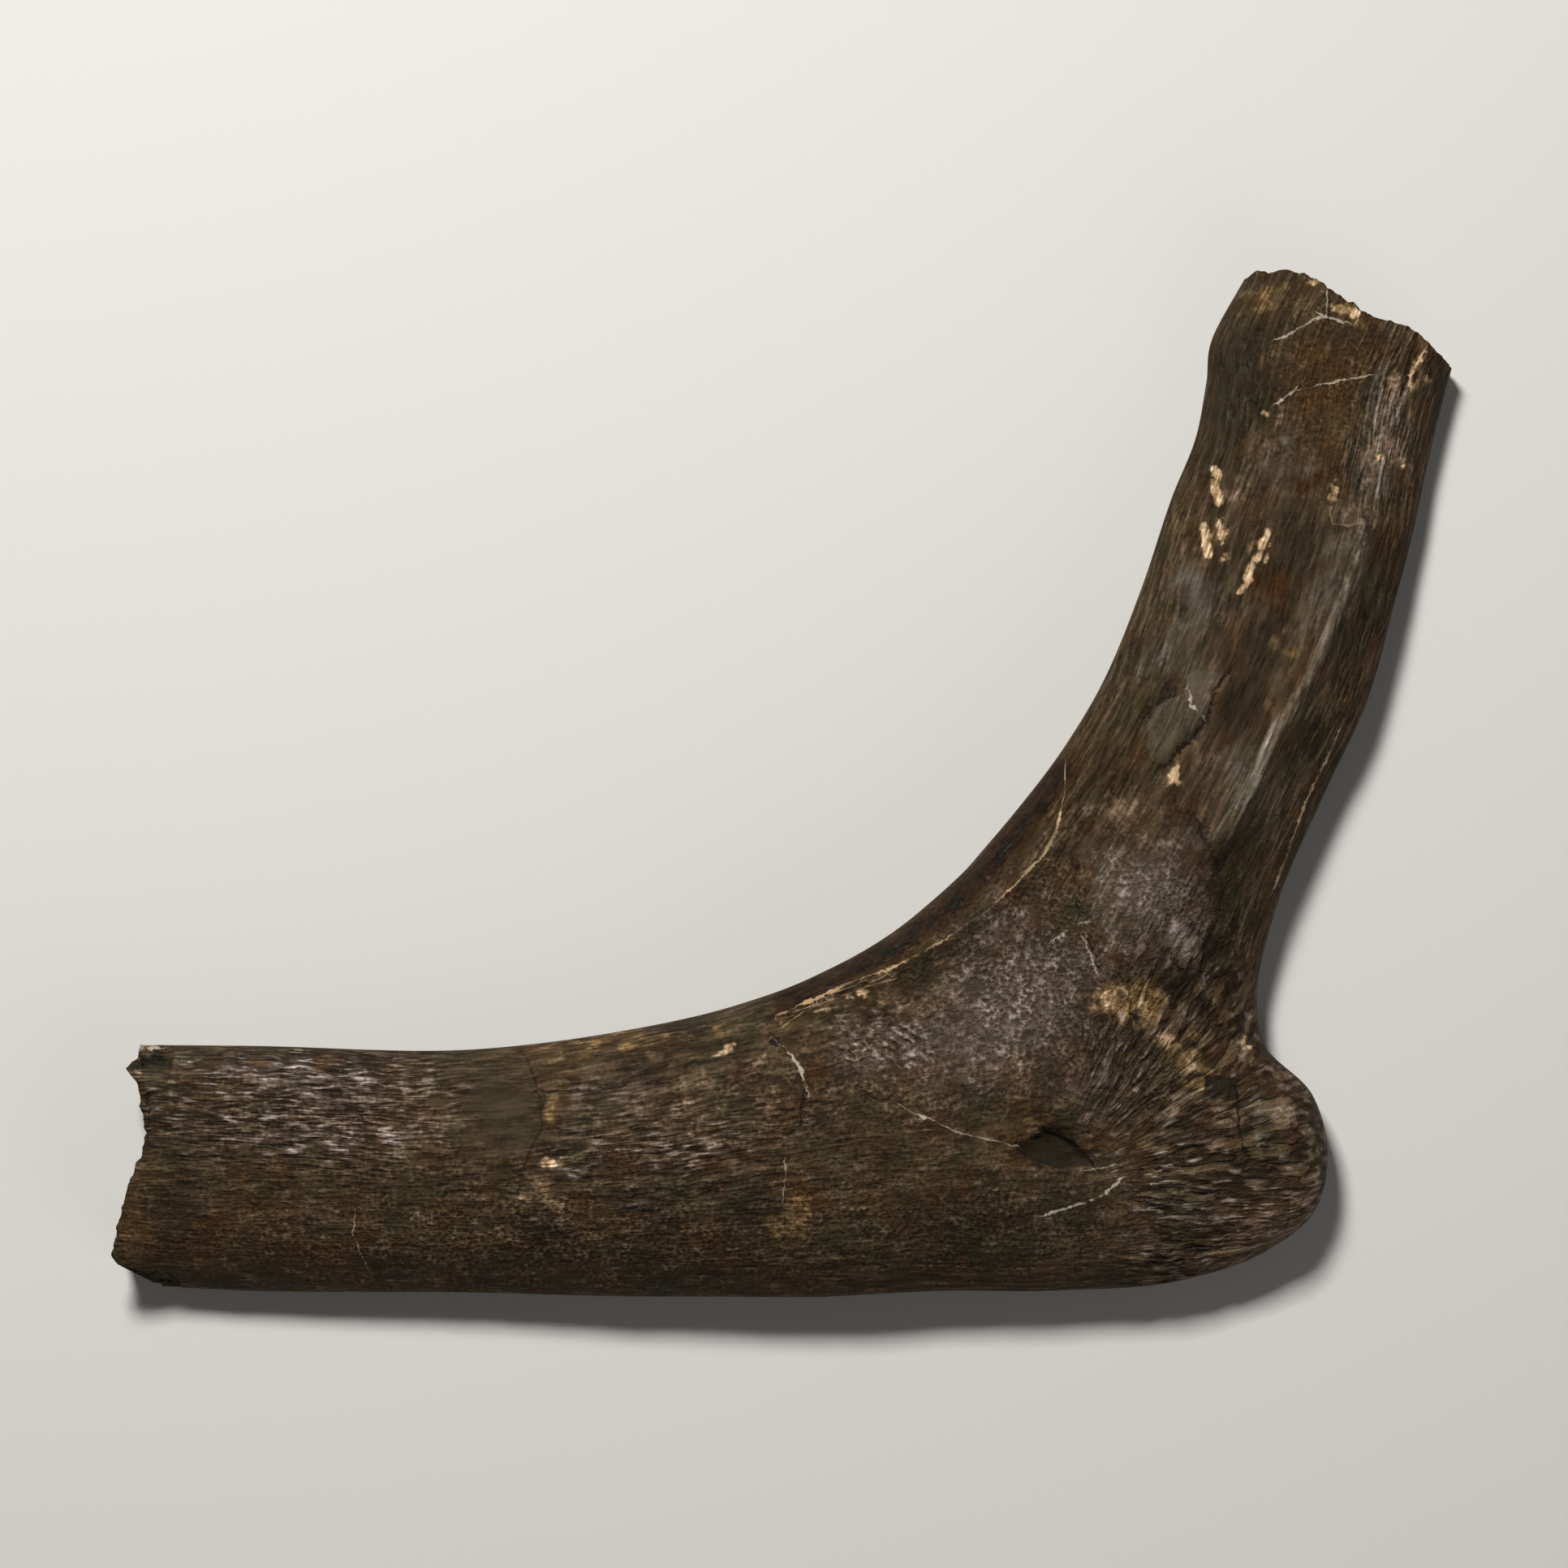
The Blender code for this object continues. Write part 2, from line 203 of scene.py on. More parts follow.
UPPER_ISLAND = [
    (83.8, 22.5), (86, 23.5), (90.6, 23.2), (91.7, 22.1), (89.1, 19.1), (88.3, 14.9), (86.9, 13.3),
    (85.3, 14.2), (84.2, 16.4), (83.5, 19.1),
]
SCALE = [(80.4, 44.3), (84.5, 46.8), (88.2, 45.6), (89.2, 42.2), (88.6, 37.5), (83.8, 34.1), (79.7, 36.6)]
FILLER = [
    (-62, -60.3), (-55.6, -57.2), (-54.1, -56.5), (-51.9, -61.1), (-50.5, -65.5), (-50.3, -71.3),
    (-52.5, -75.9), (-57.3, -77.3), (-62, -75.9), (-64, -70),
]

# Where the surface broke away or stands proud: an outline, its height and how soft its step is
Flake = namedtuple("Flake", "outline height soft")
FLAKES = [
    # The slot, the bevel and the chipped corner at the shaft's broken end
    Flake(SLOT, -1.8, 0.4),
    Flake([(-138.9, -62), (-132.8, -63.7), (-131.9, -67.1), (-131.8, -72.2), (-132.8, -75.6),
           (-135.2, -80.7), (-138.9, -81.5)], -2, 0.8),
    Flake([(-140.6, -100.4), (-134.6, -102.1), (-129, -102.4), (-127.5, -104.1), (-126.3, -107.9),
           (-140.6, -107.9)], -1.6, 0.6),
    # The filler over the glued break
    Flake(FILLER, -0.2, 1.2),
    # The chipped pocket before the tubercle
    Flake(POCKET, -1.4, 0.6),
    # The grainy plate where the neck meets the shaft
    Flake([(64.6, -7.6), (73.6, -4.2), (80.4, -5.9), (86.9, -11), (89.2, -16.2), (90.8, -21.8),
           (89.8, -28.1), (87, -33.4), (85.5, -39.9), (80.4, -42.4), (73.6, -41.6), (66.8, -39),
           (62.6, -31.4), (60.9, -22.9), (60.9, -14.4)], 0.6, 0.7),
    # Two islands of old surface low on the neck, and the peeled strip beside them
    Flake(LOWER_ISLAND, 0.7, 0.3), Flake(UPPER_ISLAND, 0.6, 0.3),
    Flake([(73, 9.5), (75, 17.1), (78.5, 21), (83.2, 22), (83.3, 19.2), (77, 16.4), (75.4, 13),
           (74.6, 8.5)], -0.5, 0.6),
    # Two strips up the neck where the outer skin flaked off, and a rounded scale of it below them
    Flake([(88.6, 55.3), (89.6, 65.5), (91.5, 66.4), (93.2, 62.1), (92.7, 55.3), (92, 47.2), (89.9, 48.5),
           (87.2, 46.8), (87, 51.1)], -0.4, 0.4),
    Flake([(100.1, 53.6), (101.5, 52.8), (100.1, 48.5), (98.3, 44.1), (96.4, 44.5),
           (98.3, 49.4)], -0.35, 0.4),
    Flake(SCALE, 0.35, 0.5),
    # The worn window and the pit by the notch, and two hollows in the tubercle's rim
    Flake(WINDOW, -0.5, 0.3),
    Flake([(71.6, -47.5), (73.4, -46.7), (75.3, -48.4), (74.5, -50.1), (72.1, -50.1)], -1.3, 0.5),
    Flake([(82.5, -96.6), (85.5, -95.6), (88.6, -96.3), (87.6, -98.2), (83.5, -98)], -0.9, 0.6),
    Flake([(96.1, -87.5), (99.1, -86.4), (101.2, -88.3), (99.5, -91.5), (96.7, -91.4)], -0.6, 0.7),
    # The slab, the long fleck and the crumbled lip at the neck's broken end
    Flake([(103.2, 91.9), (106.9, 94.1), (110.2, 96.3), (113.2, 97), (122.9, 95.8), (123.3, 85.9),
           (115.8, 84.6), (108.3, 82.9), (105.7, 81.9)], 0.3, 0.4),
    Flake([(133.8, 90.5), (132.8, 87.6), (131.4, 85.3), (130.9, 82.9), (129.7, 83.2), (130.1, 85.9),
           (131.8, 90)], -0.5, 0.4),
    Flake([(105.7, 105.1), (109.7, 105.5), (111.7, 103.3), (110.7, 101.6), (106.6, 102.3)], -0.6, 0.5),
]

# What each clear border holds, and how strongly: dirt in a window and dirt with painted shade in two
# hollows, skin, and filler
Patch = namedtuple("Patch", "strength outlines")
PATCHES = {
    "dark_dirt": Patch(0.85, (WINDOW, POCKET, SLOT)),
    "skin": Patch(0.6, (LOWER_ISLAND, UPPER_ISLAND)),
    "putty": Patch(0.6, (FILLER,)),
}

# Lines on the surface: the path, the half width, and how strongly it shows
Line = namedtuple("Line", "path half strength")
CRACKS = [
    Line([(-51.9, -63.7), (-42.8, -63.7), (-33.2, -62.6), (-25.3, -62)], 0.28, 0.9),
    Line([*FILLER[2:7], (-54.2, -80.7), (-55.4, -85.8)], 0.3, 0.6),
    Line([(-1.8, -52.6), (-0.8, -53.8)], 0.5, 1),
    Line([(4.2, -64.3), (3.9, -67.4), (3.4, -70.8), (0.7, -72.7)], 0.3, 1),
    Line([(-0.2, -86.3), (0.2, -90.9), (-0.7, -96)], 0.22, 0.5),
    Line([(16.2, -63.3), (18.4, -65), (22.6, -65.7)], 0.28, 0.8),
    Line([(54.1, -71.8), (57, -72.8), (59.4, -74.5), (61.9, -76.6), (64.3, -79.2)], 0.6, 1),
    Line([(59.5, -15.7), (60.7, -21.8), (60.7, -27.1)], 0.35, 0.9),
    Line([(62.6, -32), (63.8, -35.1), (65.1, -38.5)], 0.3, 1),
    Line([(98.3, -52.1), (95.7, -55.2), (94.4, -57), (93.6, -58.6), (92, -60.2), (93.8, -61.8),
          (94.6, -65.8), (94.2, -70.5), (95.3, -75.1), (96.4, -77.7)], 0.32, 1),
    Line([(96.6, -78.8), (101.7, -79), (106.9, -79.3), (113.4, -79.3)], 0.22, 0.4),
    Line([(93.2, 24), (91.7, 22.1), (89.4, 19.3), (88.5, 15.3), (87.2, 12.3)], 0.45, 0.9),
    Line([(87.2, 12.3), (85.3, 10.2), (82.4, 7.6), (80.4, 5.5), (77.7, 3.2)], 0.75, 1),
    Line([(75.2, 12.8), (77, 16.4), (79.6, 17.9), (82.6, 19.2)], 0.5, 0.9),
    Line([(80.8, -3), (81.6, -5.6), (85, -6.5), (86.3, -9.2)], 0.35, 0.8),
    Line([(86.3, -9.2), (86.9, -10.6), (87.4, -12.2)], 0.6, 1),
    Line([(87.4, -12), (89.4, -16.2), (91.2, -21.8), (90.2, -28.1), (87.4, -33.4), (86.9, -39.7),
          (88.9, -50.1)], 0.5, 0.55),
    Line([(103.4, 79.2), (106.1, 81.1), (109.2, 84.2)], 0.25, 0.8),
    Line([(113.6, 104.3), (113.8, 100.9), (113.5, 97.5)], 0.25, 0.8),
    Line([(-132.8, -64.5), (-132.1, -67.9), (-131.9, -72.2), (-132.8, -75.2)], 0.35, 0.9),
    Line([(131.6, 91), (129.2, 84), (127.6, 76)], 0.3, 0.7),
    Line([(-133.6, -57.5), (-128.8, -57.3)], 0.9, 1),
]
# White mineral and glue in the old breaks
SEAMS = [
    Line([(-135, -55.2), (-131, -55.3)], 0.45, 1),
    Line([(-1.2, -53.6), (0.2, -54.8), (1.7, -56.2), (3.4, -58.9), (4.6, -63)], 0.34, 1),
    Line([(0.3, -77.3), (0.2, -81.2), (-0.2, -86.3)], 0.2, 0.8),
    Line([(22.3, -65.7), (25, -67.2), (28.2, -68.9)], 0.14, 0.4),
    Line([(27.5, -68.4), (29.8, -69.3), (32, -70.2)], 0.4, 1),
    Line([(31.5, -70.1), (34, -71.5), (37.9, -72.7), (43.4, -74)], 0.18, 0.75),
    Line([(43.4, -74), (48.8, -75.2)], 0.15, 0.45),
    Line([(56.4, -32), (58.7, -30.3), (61.5, -28.8)], 0.35, 0.7),
    Line([(62, -32), (63.2, -35.1), (64.5, -38.5)], 0.25, 0.6),
    Line([(54.7, -89.3), (60.9, -87.5), (66.6, -85.3), (69.9, -82)], 0.28, 0.75),
    Line([(-89.1, -88.8), (-89.6, -93.4), (-86.9, -101.1)], 0.16, 0.7),
    Line([(103.2, 92.7), (106.9, 94.6), (110.2, 96.8), (113.2, 97.5), (116.5, 96.5)], 0.3, 0.75),
    Line([(103, 79.6), (105.7, 81.5), (108.8, 84.6)], 0.34, 0.9),
    Line([(107.6, 82.2), (115.8, 84.2), (123.3, 85.3)], 0.2, 0.8),
    Line([(113.2, 104.3), (113.4, 100.9), (113.1, 97.5)], 0.22, 0.7),
    Line([(84, 18.8), (84.4, 16.4), (86.6, 13.8)], 0.4, 0.9),
    Line([(64, -80), (66, -79.7), (68.6, -79.2)], 0.25, 0.8),
]
# Edges that stand out pale, partly from wear and partly as painted highlight where they catch the light
EDGES = [
    Line([(133.8, 90.5), (132.4, 87.6), (131.1, 85.6), (130.7, 83.4)], 0.4, 1), Line(LIP[:7], 0.26, 0.8),
    Line(LIP[6:9], 0.16, 0.5), Line(LIP[8:], 0.26, 0.9),
    Line([(57.3, -6.2), (58.3, -1.8), (58.3, 4.2)], 0.14, 0.5),
    Line([(-0.3, -50.4), (3.1, -48), (6.6, -45.8), (9.5, -45), (15.8, -42.4), (21.9, -40.5)], 0.2, 0.5),
    Line(FLANK_EDGE, 0.26, 1), Line(SKIN_EDGE, 0.2, 0.35),
]
LINE_FULL, LINE_REACH = 1.2, 2.4

# Farther off than any border, in millimetres
FAR = 9

# Ovals in plan: middle, half length, half width, turn in degrees and strength
Oval = namedtuple("Oval", "middle length width turn strength")


def ovals(**tables):
    """The ovals of each table, from rows that give the middle's x and y and then the rest."""
    return {name: [Oval(row[:2], *row[2:]) for row in rows] for name, rows in tables.items()}


STAINS = ovals(
    amber=[
        (112, 83, 14, 9.5, 82, 1), (113, 68.5, 7, 6, 80, 0.9), (124, 90, 9, 5, -32, 0.8),
        (101, 101, 7, 3.5, 15, 0.6), (0.9, -90, 5.1, 7.1, 0, 0.6), (-105, -98, 28, 6, 0, 0.6),
        (-136, -92, 3, 9, 0, 0.7), (91, 15.4, 6, 3, 58, 0.7), (-40, -96, 20, 3, 0, 0.5),
    ],
    # Dark, dull skin, partly stain and partly painted shade where the margins and the neck's hollow turn
    # from the light
    umber=[
        (99.5, 25, 27, 6.5, 68, 1), (104, 49, 13, 7, 72, 0.8), (66, 2, 20, 7, 58, 0.7),
        (93.5, 83, 18, 7, 78, 1.2), (-15, -98, 90, 8, 0, 0.45), (37, -92, 26, 11, 2, 0.75),
        (91.5, -27, 22, 5, 86, 0.6), (120, 30, 30, 4, 66, 0.6), (57, -75, 10, 5, -25, 0.8),
    ],
    # Paler skin; the two long ovals on the shaft's upper half are partly painted light where it turns
    # towards the lamp
    tan=[
        (97, -95, 15, 6, 22, 0.95), (109.5, -84, 4, 10, -10, 0.7), (-95, -68, 45, 12, 0, 0.45),
        (-25, -68, 30, 12, 0, 0.45), (20.5, -54.5, 11, 6, -8, 0.6), (84, -67, 5, 4, 0, 0.7),
        (91, -70.5, 4, 3.5, 0, 0.8), (88.6, 19.8, 2.6, 4, 0, 0.9), (-50, -85, 7, 5, 0, 0.6),
        (104, -68, 6, 11, 0, 0.5), (76, -96, 12, 4, 2, 0.5), (72, -5.5, 6, 3.5, 20, 0.7),
        (29, -45.5, 11, 4.5, 26, 0.6), (48, -58, 12, 5, 10, 0.5), (90, 5, 4, 9, -35, 0.4),
        (125.8, 80, 2.1, 5.5, -12, 1.4), (124.8, 69, 3.4, 7.5, -12, 1.3), (121.5, 57, 2.6, 6, -14, 0.6),
        (102.4, 75.5, 1.2, 4.5, -8, 0.9), (91.8, 60.5, 2.2, 6.5, -6, 0.8),
    ],
    ochre=[
        (70.8, -45, 6.5, 4.6, -10, 1.3), (74.5, -47.5, 5, 2.6, -25, 0.7), (84, -56, 6.5, 3.6, -25, 0.85),
        (84.5, -62.5, 3.5, 2.5, -25, 0.7), (88, -59, 3, 2, 0, 1), (89.8, 50, 2.6, 2.6, -10, 0.6),
        (98.4, 47.5, 1.6, 6, -27, 0.6), (80.9, 1, 1.8, 3.2, -12, 0.8), (117.5, 98.4, 4.5, 1.8, -28, 1.1),
        (77.9, -52.1, 5.1, 3.4, -30, 0.5), (-47.6, -67.9, 2.7, 6.1, 0, 0.6),
        (50.5, -69.4, 4.8, 1.5, 0, 0.6), (-36.9, -54.7, 16.2, 1.4, 5, 0.6), (75.3, -80.2, 2, 1, 10, 0.9),
        (0.9, -90, 5.1, 7.1, 0, 0.52), (-50.8, -85.8, 5.8, 4.8, 0, 0.4), (132.3, 87.1, 1.4, 3.2, -20, 1),
        (104, 30, 5, 3, 66, 0.45), (101, 15, 4, 2.6, 60, 0.35), (100.8, 102.1, 5.8, 2.7, 15, 0.6),
        (-14.8, -51.4, 18.7, 1, 10, 0.5), (15, -44.6, 10.2, 1.5, 20, 0.5),
        (-118.5, -100.2, 5.1, 1.7, 0, 0.4),
    ],
    rust=[
        (100.5, 40.5, 4.6, 4.2, 10, 1.1), (110, 63.6, 5.5, 1.8, 5, 1.1), (-19, -94.6, 10.2, 1.5, 0, 0.55),
        (-121.9, -97.7, 11.9, 3.4, 0, 0.5), (73.3, -6.2, 4.1, 2.7, 20, 0.6),
        (-93, -99.4, 15.3, 2.4, 0, 0.35), (90.6, 10.3, 3.7, 6.8, -25, 0.5),
        (46.4, -67.9, 7.8, 2.7, -10, 0.4), (98.3, 17.9, 5.1, 10.2, -25, 0.3),
        (51.5, -56.9, 6.8, 3.7, 30, 0.3),
    ],
    skin=[
        (84.8, 41.5, 4.6, 5.2, -10, 1.1), (83, 31, 12, 5.5, 66, 0.7), (94, 82.5, 16, 4.8, 78, 0.3),
        (95.7, 0.9, 10.2, 4.4, -60, 0.8), (112, 40, 14, 3.5, 68, 0.6), (105, 67, 6, 5, 80, 0.7),
        (121, 66, 16, 3, 76, 0.6),
    ],
    # Mauve-grey skin, partly its own colour and partly painted sheen on the flat body, the plateau and the
    # shaft's upper side
    grey=[
        (77, -24.6, 11.9, 15.3, 10, 0.8), (60, -38.2, 10.2, 8.5, 30, 0.6),
        (44.7, -29.7, 11.9, 6.1, 35, 0.5), (63.4, -62, 11.9, 6.8, 0, 0.5), (46, -47, 26, 13, 30, 0.85),
        (22, -54, 15, 7, -5, 0.6), (-45.4, -79, 10.2, 1.2, 5, 0.6), (-101.5, -62, 25.5, 3.1, -4, 0.7),
        (-91.3, -73, 32.3, 3.1, 0, 0.5), (-101, -93.2, 2.7, 1.4, 0, 0.5),
        (61.7, -11.8, 3.4, 4.4, 30, 0.6), (-33.5, -64.5, 15.3, 3.4, 5, 0.4),
        (105.9, 101.2, 3.4, 2.4, 0, 0.3), (87.2, -87.5, 10.2, 5.1, 0, 0.25),
    ],
    # Dirt in pits and cracks, and painted shade in hollows, beside raised edges and along the lower margin
    dark=[
        (73.3, -48.5, 1.5, 1.4, 0, 1), (-131.2, -57.5, 3.7, 1.4, 0, 1), (86.4, -97, 4.2, 1.1, 3, 0.9),
        (88.4, -90.8, 6.4, 0.6, 3, 0.6), (98.3, -89.2, 2.4, 2.6, 0, 0.45), (-128, -104, 1.2, 1.2, 0, 1),
        (-1.5, -53.3, 1, 0.9, 0, 1), (58.5, -73.6, 5, 1.3, -34, 0.8), (95.7, -49.2, 2, 3.7, -10, 0.7),
        (88.4, -39.9, 1.7, 8.5, 5, 0.55), (78.7, 19.3, 4.1, 1.4, 35, 0.7),
        (27.7, -51.8, 7.8, 2.7, -10, 0.45), (31.1, -27.1, 6.1, 1.7, 38, 0.4),
        (54.9, -7.6, 2, 6.8, -35, 0.3), (87.2, 12, 1.2, 4.4, -32, 0.8), (117, 34.9, 2, 15.3, -14, 0.15),
        (36.2, -102.8, 37.4, 2.7, 0, 0.35), (-55.6, -62, 2, 2.7, 0, 0.3), (56.6, -84.1, 7.8, 2.7, 0, 0.4),
    ],
    putty=[
        (-58.7, -67.4, 8.5, 9.9, 10, 1),
    ],
    core=[
        (-135.2, -70.5, 2.7, 9.5, 4, 0.9), (-133.8, -104.5, 5.8, 1.9, -10, 0.9),
    ],
    cream=[
        (17.2, -43.6, 5.1, 1.5, 18, 0.9), (9, -46.7, 6.8, 0.7, 22, 0.6),
        (-48.3, -78.5, 2.6, 1.5, 10, 0.9), (80.8, 1.6, 1.2, 2.8, -12, 1.1),
        (95.2, 40.5, 0.7, 0.7, 0, 0.9), (96.7, 42.4, 0.7, 0.7, 0, 0.9), (114.5, 60.6, 1.2, 3.4, -8, 1),
        (118.6, 98.4, 1.7, 1.2, -25, 1), (115.8, 99, 0.8, 1.1, -25, 0.9),
        (109.8, 104.4, 4, 1.3, -25, 0.8), (113.9, 99.6, 0.7, 1.6, 0, 0.9),
        (123.8, 68, 0.6, 1.6, -12, 0.9), (129.4, 65.8, 0.6, 1.4, -12, 0.9),
        (100.8, 77.4, 0.9, 1.7, 0, 0.8), (-133.1, -55, 2.4, 0.5, 0, 1), (-11.4, -55.5, 4.4, 1.7, 5, 0.5),
        (-4.6, -56.9, 3.7, 2, 0, 0.4), (66.6, -27.6, 2, 3.7, 0, 0.5), (65.5, -44.3, 2.6, 2.8, 10, 0.7),
        (70.2, -43.6, 2.4, 1.8, 20, 1), (68, -46, 1.6, 1.2, 0, 0.8), (83.5, -57.5, 2.2, 1, -30, 0.55),
        (88.5, -59, 1.6, 0.7, 0, 0.6), (96.6, -54, 1.4, 1.9, 0, 0.7), (-135.8, -59.9, 1.7, 1, -15, 0.7),
        (108.5, 103.4, 2.7, 1.5, -20, 0.5),
    ],
)

# Where the surface is coarse-fibred, where it is grainy, where it is polished smooth, and where it glints,
# which makes it glossier and mixes painted highlights and lighter painted tops into its colour
TEXTURES = ovals(
    coarse=[
        (-102, -66, 46, 13, 0, 1), (-20, -72, 38, 13, 4, 0.6), (-30, -86, 60, 14, 3, 0.35),
        (114, 12, 6, 44, -26, 0.2), (88, -42, 7, 15, -8, 0.8), (124, 74, 8, 22, -14, 0.6),
    ],
    grain=[
        (52, -40, 32, 24, 40, 0.8), (77, -25, 15, 20, 10, 0.75), (112, 84, 14, 24, -14, 0.45),
        (50, -62, 42, 12, 8, 0.5), (20, -62, 30, 14, 0, 0.45), (-60, -98, 90, 17, 0, 0.6),
        (40, -90, 50, 14, 0, 0.6),
    ],
    polished=[
        (98, 24, 15, 40, -24, 1), (108, 55, 16, 14, -20, 0.7), (92.5, 82, 6, 17, -14, 0.5),
        (84.5, 40.4, 5, 6.5, -10, 0.9),
    ],
    # Glossier places, which also take painted highlights and lighter painted tops in their colour
    glinting=[
        (-105.7, -60.3, 14, 2.6, 0, 1), (-107.4, -68.6, 6, 1.8, 0, 0.9), (-90.3, -73.5, 13, 3, 0, 1),
        (-28, -76, 20, 3.5, 6, 0.5), (21, -54, 10, 6, -8, 1), (50, -44, 18, 12, 35, 0.4),
        (70, -24, 5, 14, 5, 0.4), (66, -50, 5, 4, 0, 0.9), (78, -79.8, 9, 1.8, 8, 1),
        (73.5, -87.5, 6, 5, 0, 0.8), (70, -68, 12, 6, 40, 0.4), (100, -88, 12, 10, 20, 0.3),
    ],
)

# Stains with a clear border, and those too small to be spread in clouds
SHARP_STAINS = ("dark", "core")
SMALL_STAINS = ("dark", "core", "cream")

# Bands of stain, darker along the crook's rim partly from painted shade under the lip, and bands of
# wear, which stand out pale and smooth, partly as painted highlight
RIM = [(0, -45.2), (12, -40), (24, -33.3), (32, -27.6), (40, -20.2), (47, -12.2), (52, -5.5), (58, 3)]
BANDS = {
    # Along the crook's rim: umber and dark bands, partly stain and partly painted shade under the lip;
    # rust, a stain
    "umber": [Line(RIM, 2.6, 1)],
    "dark": [Line(RIM, 3.2, 0.72)],
    "rust": [Line(RIM, 2.6, 1.1)],
    "cream": [
        Line([(90, 65.5), (90.4, 60.5), (90.7, 56.5), (91.6, 50.5), (91.7, 47.8)], 1.15, 1),
        Line([(87.5, 53.8), (88.2, 50.8), (88.4, 47.8)], 1, 1),
        Line([(100.6, 52.6), (98.4, 47.4), (96.6, 43.6), (95.4, 40.5)], 0.95, 0.85),
        Line([(101.6, 50), (99.6, 45)], 0.5, 0.7),
    ],
}
# Pale bands along the neck's ridge, the plateau's edge and the flank: partly wear and partly painted
# highlight
WORN = [
    Line(SHARP_RIDGE[:4], 1.2, 0.68), Line(SHARP_RIDGE[3:7], 1.4, 0.62),
    Line([(108.5, 21.5), (105.5, 16), (101.6, 10.8), (99, 5.4), (97.4, 0.2)], 1.5, 0.75),
    Line([(97, 0), (93.5, -5), (90, -11)], 2, 0.4),
    Line([(91, 22.6), (86.4, 15.2), (84.6, 17.4), (87.6, 22)], 1.1, 0.4),
    Line([(66.8, -13.8), (66, -24.5), (68.4, -32.5)], 3.2, 0.55),
    Line([(128.2, 80), (125.4, 70), (123.6, 62)], 3, 0.7),
    Line([(124.8, 88), (123.4, 80), (122.2, 74)], 2, 0.6),
]
MASKS = [*STAINS, *TEXTURES, "worn", "rise"]

# The old breaks go through the bone, so they show on the back too
BACK_CRACKS = [
    Line([(-54.1, -52), (-51, -66), (-53, -80), (-57, -92), (-55, -110)], 0.35, 0.9),
    Line([(2, -40), (4, -60), (0, -76), (2, -92), (-3, -110)], 0.3, 0.8),
    Line([(78, 2), (86, 10), (95, 8), (108, 2)], 0.3, 0.7),
]
BACK_SEAMS = [
    Line([(-1, -52), (4.2, -63), (1, -76)], 0.3, 0.7), Line([(30, -70), (44, -74), (58, -80)], 0.3, 0.7),
]

# The width over which the fibres' own coordinates are laid across the bone, and how they wander
FLOW_WIDTH = 56
WANDER = (Wave(0.9, 35, 15, 21), Wave(0.25, 7, 4, 22))

# How far the places on the shown face are moved, so that what is measured from them has an uneven border
JITTERS = {
    "cloudy": Wave(3.4, 8, 8, 35, 3),
    "blotchy": Wave(1, 2.6, 2.6, 39, 3),
    "ragged": Wave(0.35, 2.4, 2.4, 31, 3),
    "thin": Wave(0.25, 2.4, 2.4, 31, 3),
    "even": Wave(0.2, 5, 5, 33, 3),
}
JITTER_STEP = 5

# The relief of the shown face and of the back
LUMPS = Wave(1, 20, 20, 41, 2)
FIBRE_RIBS = Wave(1, 7, 1.6, 51)
FIBRE_WAVES = Wave(0.4, 5, 1.1, 52)
FINE_RIBS = Wave(1, 14, 1.6, 53)
FAN_RIBS = (Wave(1, 1.6, 7, 61), Wave(0.5, 1, 4, 62))
GRAIN_WAVES = Wave(1, 1.5, 1.5, 71, 2)
PIT_WAVES, PIT_START, PIT_FULL = Wave(1, 1.5, 1.5, 73), 0.4, 0.75
SCAR_RIBS = Wave(1, 3.2, 1.6, 81)
BACK_LUMPS = Wave(1, 16, 16, 141, 2)
BACK_RIBS = Wave(1, 14, 2.6, 151)
BACK_GRAIN = Wave(1, 2.4, 2.4, 171, 2)

# The muscle's scar on the body: short ridges that lean towards the tubercle
SCAR = Oval((20.9, -54), 11, 6, -8, 1)
SCAR_LEAN = -28

# How far the relief gives way on smooth skin and where the fan grows faint, and over what share of the
# width it fades out at a rim
POLISH = 0.85
FAINTNESS = 0.6
RIM_SHARE, BACK_RIM_SHARE = 0.012, 0.08

# How high the finer fibres between the coarse ones stand, and those of the back, as a share of the coarse
# ones on the shown face, and how much of the grain stays where no mask asks for it
FINE_FIBRES, BACK_FIBRES = 0.1, 0.4
FAINT_GRAIN = 0.15

# How wide a crack's groove is for the width of its line
CRACK_SPREAD, BACK_CRACK_SPREAD = 1.5, 1.6

# The textures of the back, which are waves round a mean, and its stains: how strong they are, their clouds,
# and where their borders start and are full
BACK_TEXTURES = {"coarse": (0.45, Wave(0.4, 40, 25, 91)), "grain": (0.35, Wave(0.5, 30, 30, 92))}
BACK_STAINS = {
    "ochre": (0.8, Wave(1, 22, 16, 93), 0.25, 0.7),
    "rust": (0.6, Wave(1, 26, 14, 94), 0.3, 0.8),
    "grey": (0.8, Wave(1, 34, 20, 95), 0.1, 0.7),
    "dark": (0.6, Wave(1, 20, 20, 96), 0.3, 0.8),
}
BACK_FILLER = Oval((-56, -78), 5, 30, 6, 0.8)

# A broken end: how wide and thick it is in millimetres, how deep its core is dented, and how rough it is
END_WIDTH, END_THICKNESS = 52, 24
CORE_DENT, CORE_ROUGH = 1.6, 0.8
CORE_LUMPS, CORE_CELLS = Wave(1, 5, 5, 0, 3), Wave(0.5, 1.6, 1.6, 9)
CORE_STAIN = 1.6

# The map: the shown face in two bands, the back in two more, and the broken ends beside them
SHOWN_BANDS = (((0.004, 0.675), (0.996, 0.996)), ((0.004, 0.345), (0.996, 0.666)))
BACK_BANDS = (((0.004, 0.18), (0.83, 0.335)), ((0.004, 0.012), (0.83, 0.17)))

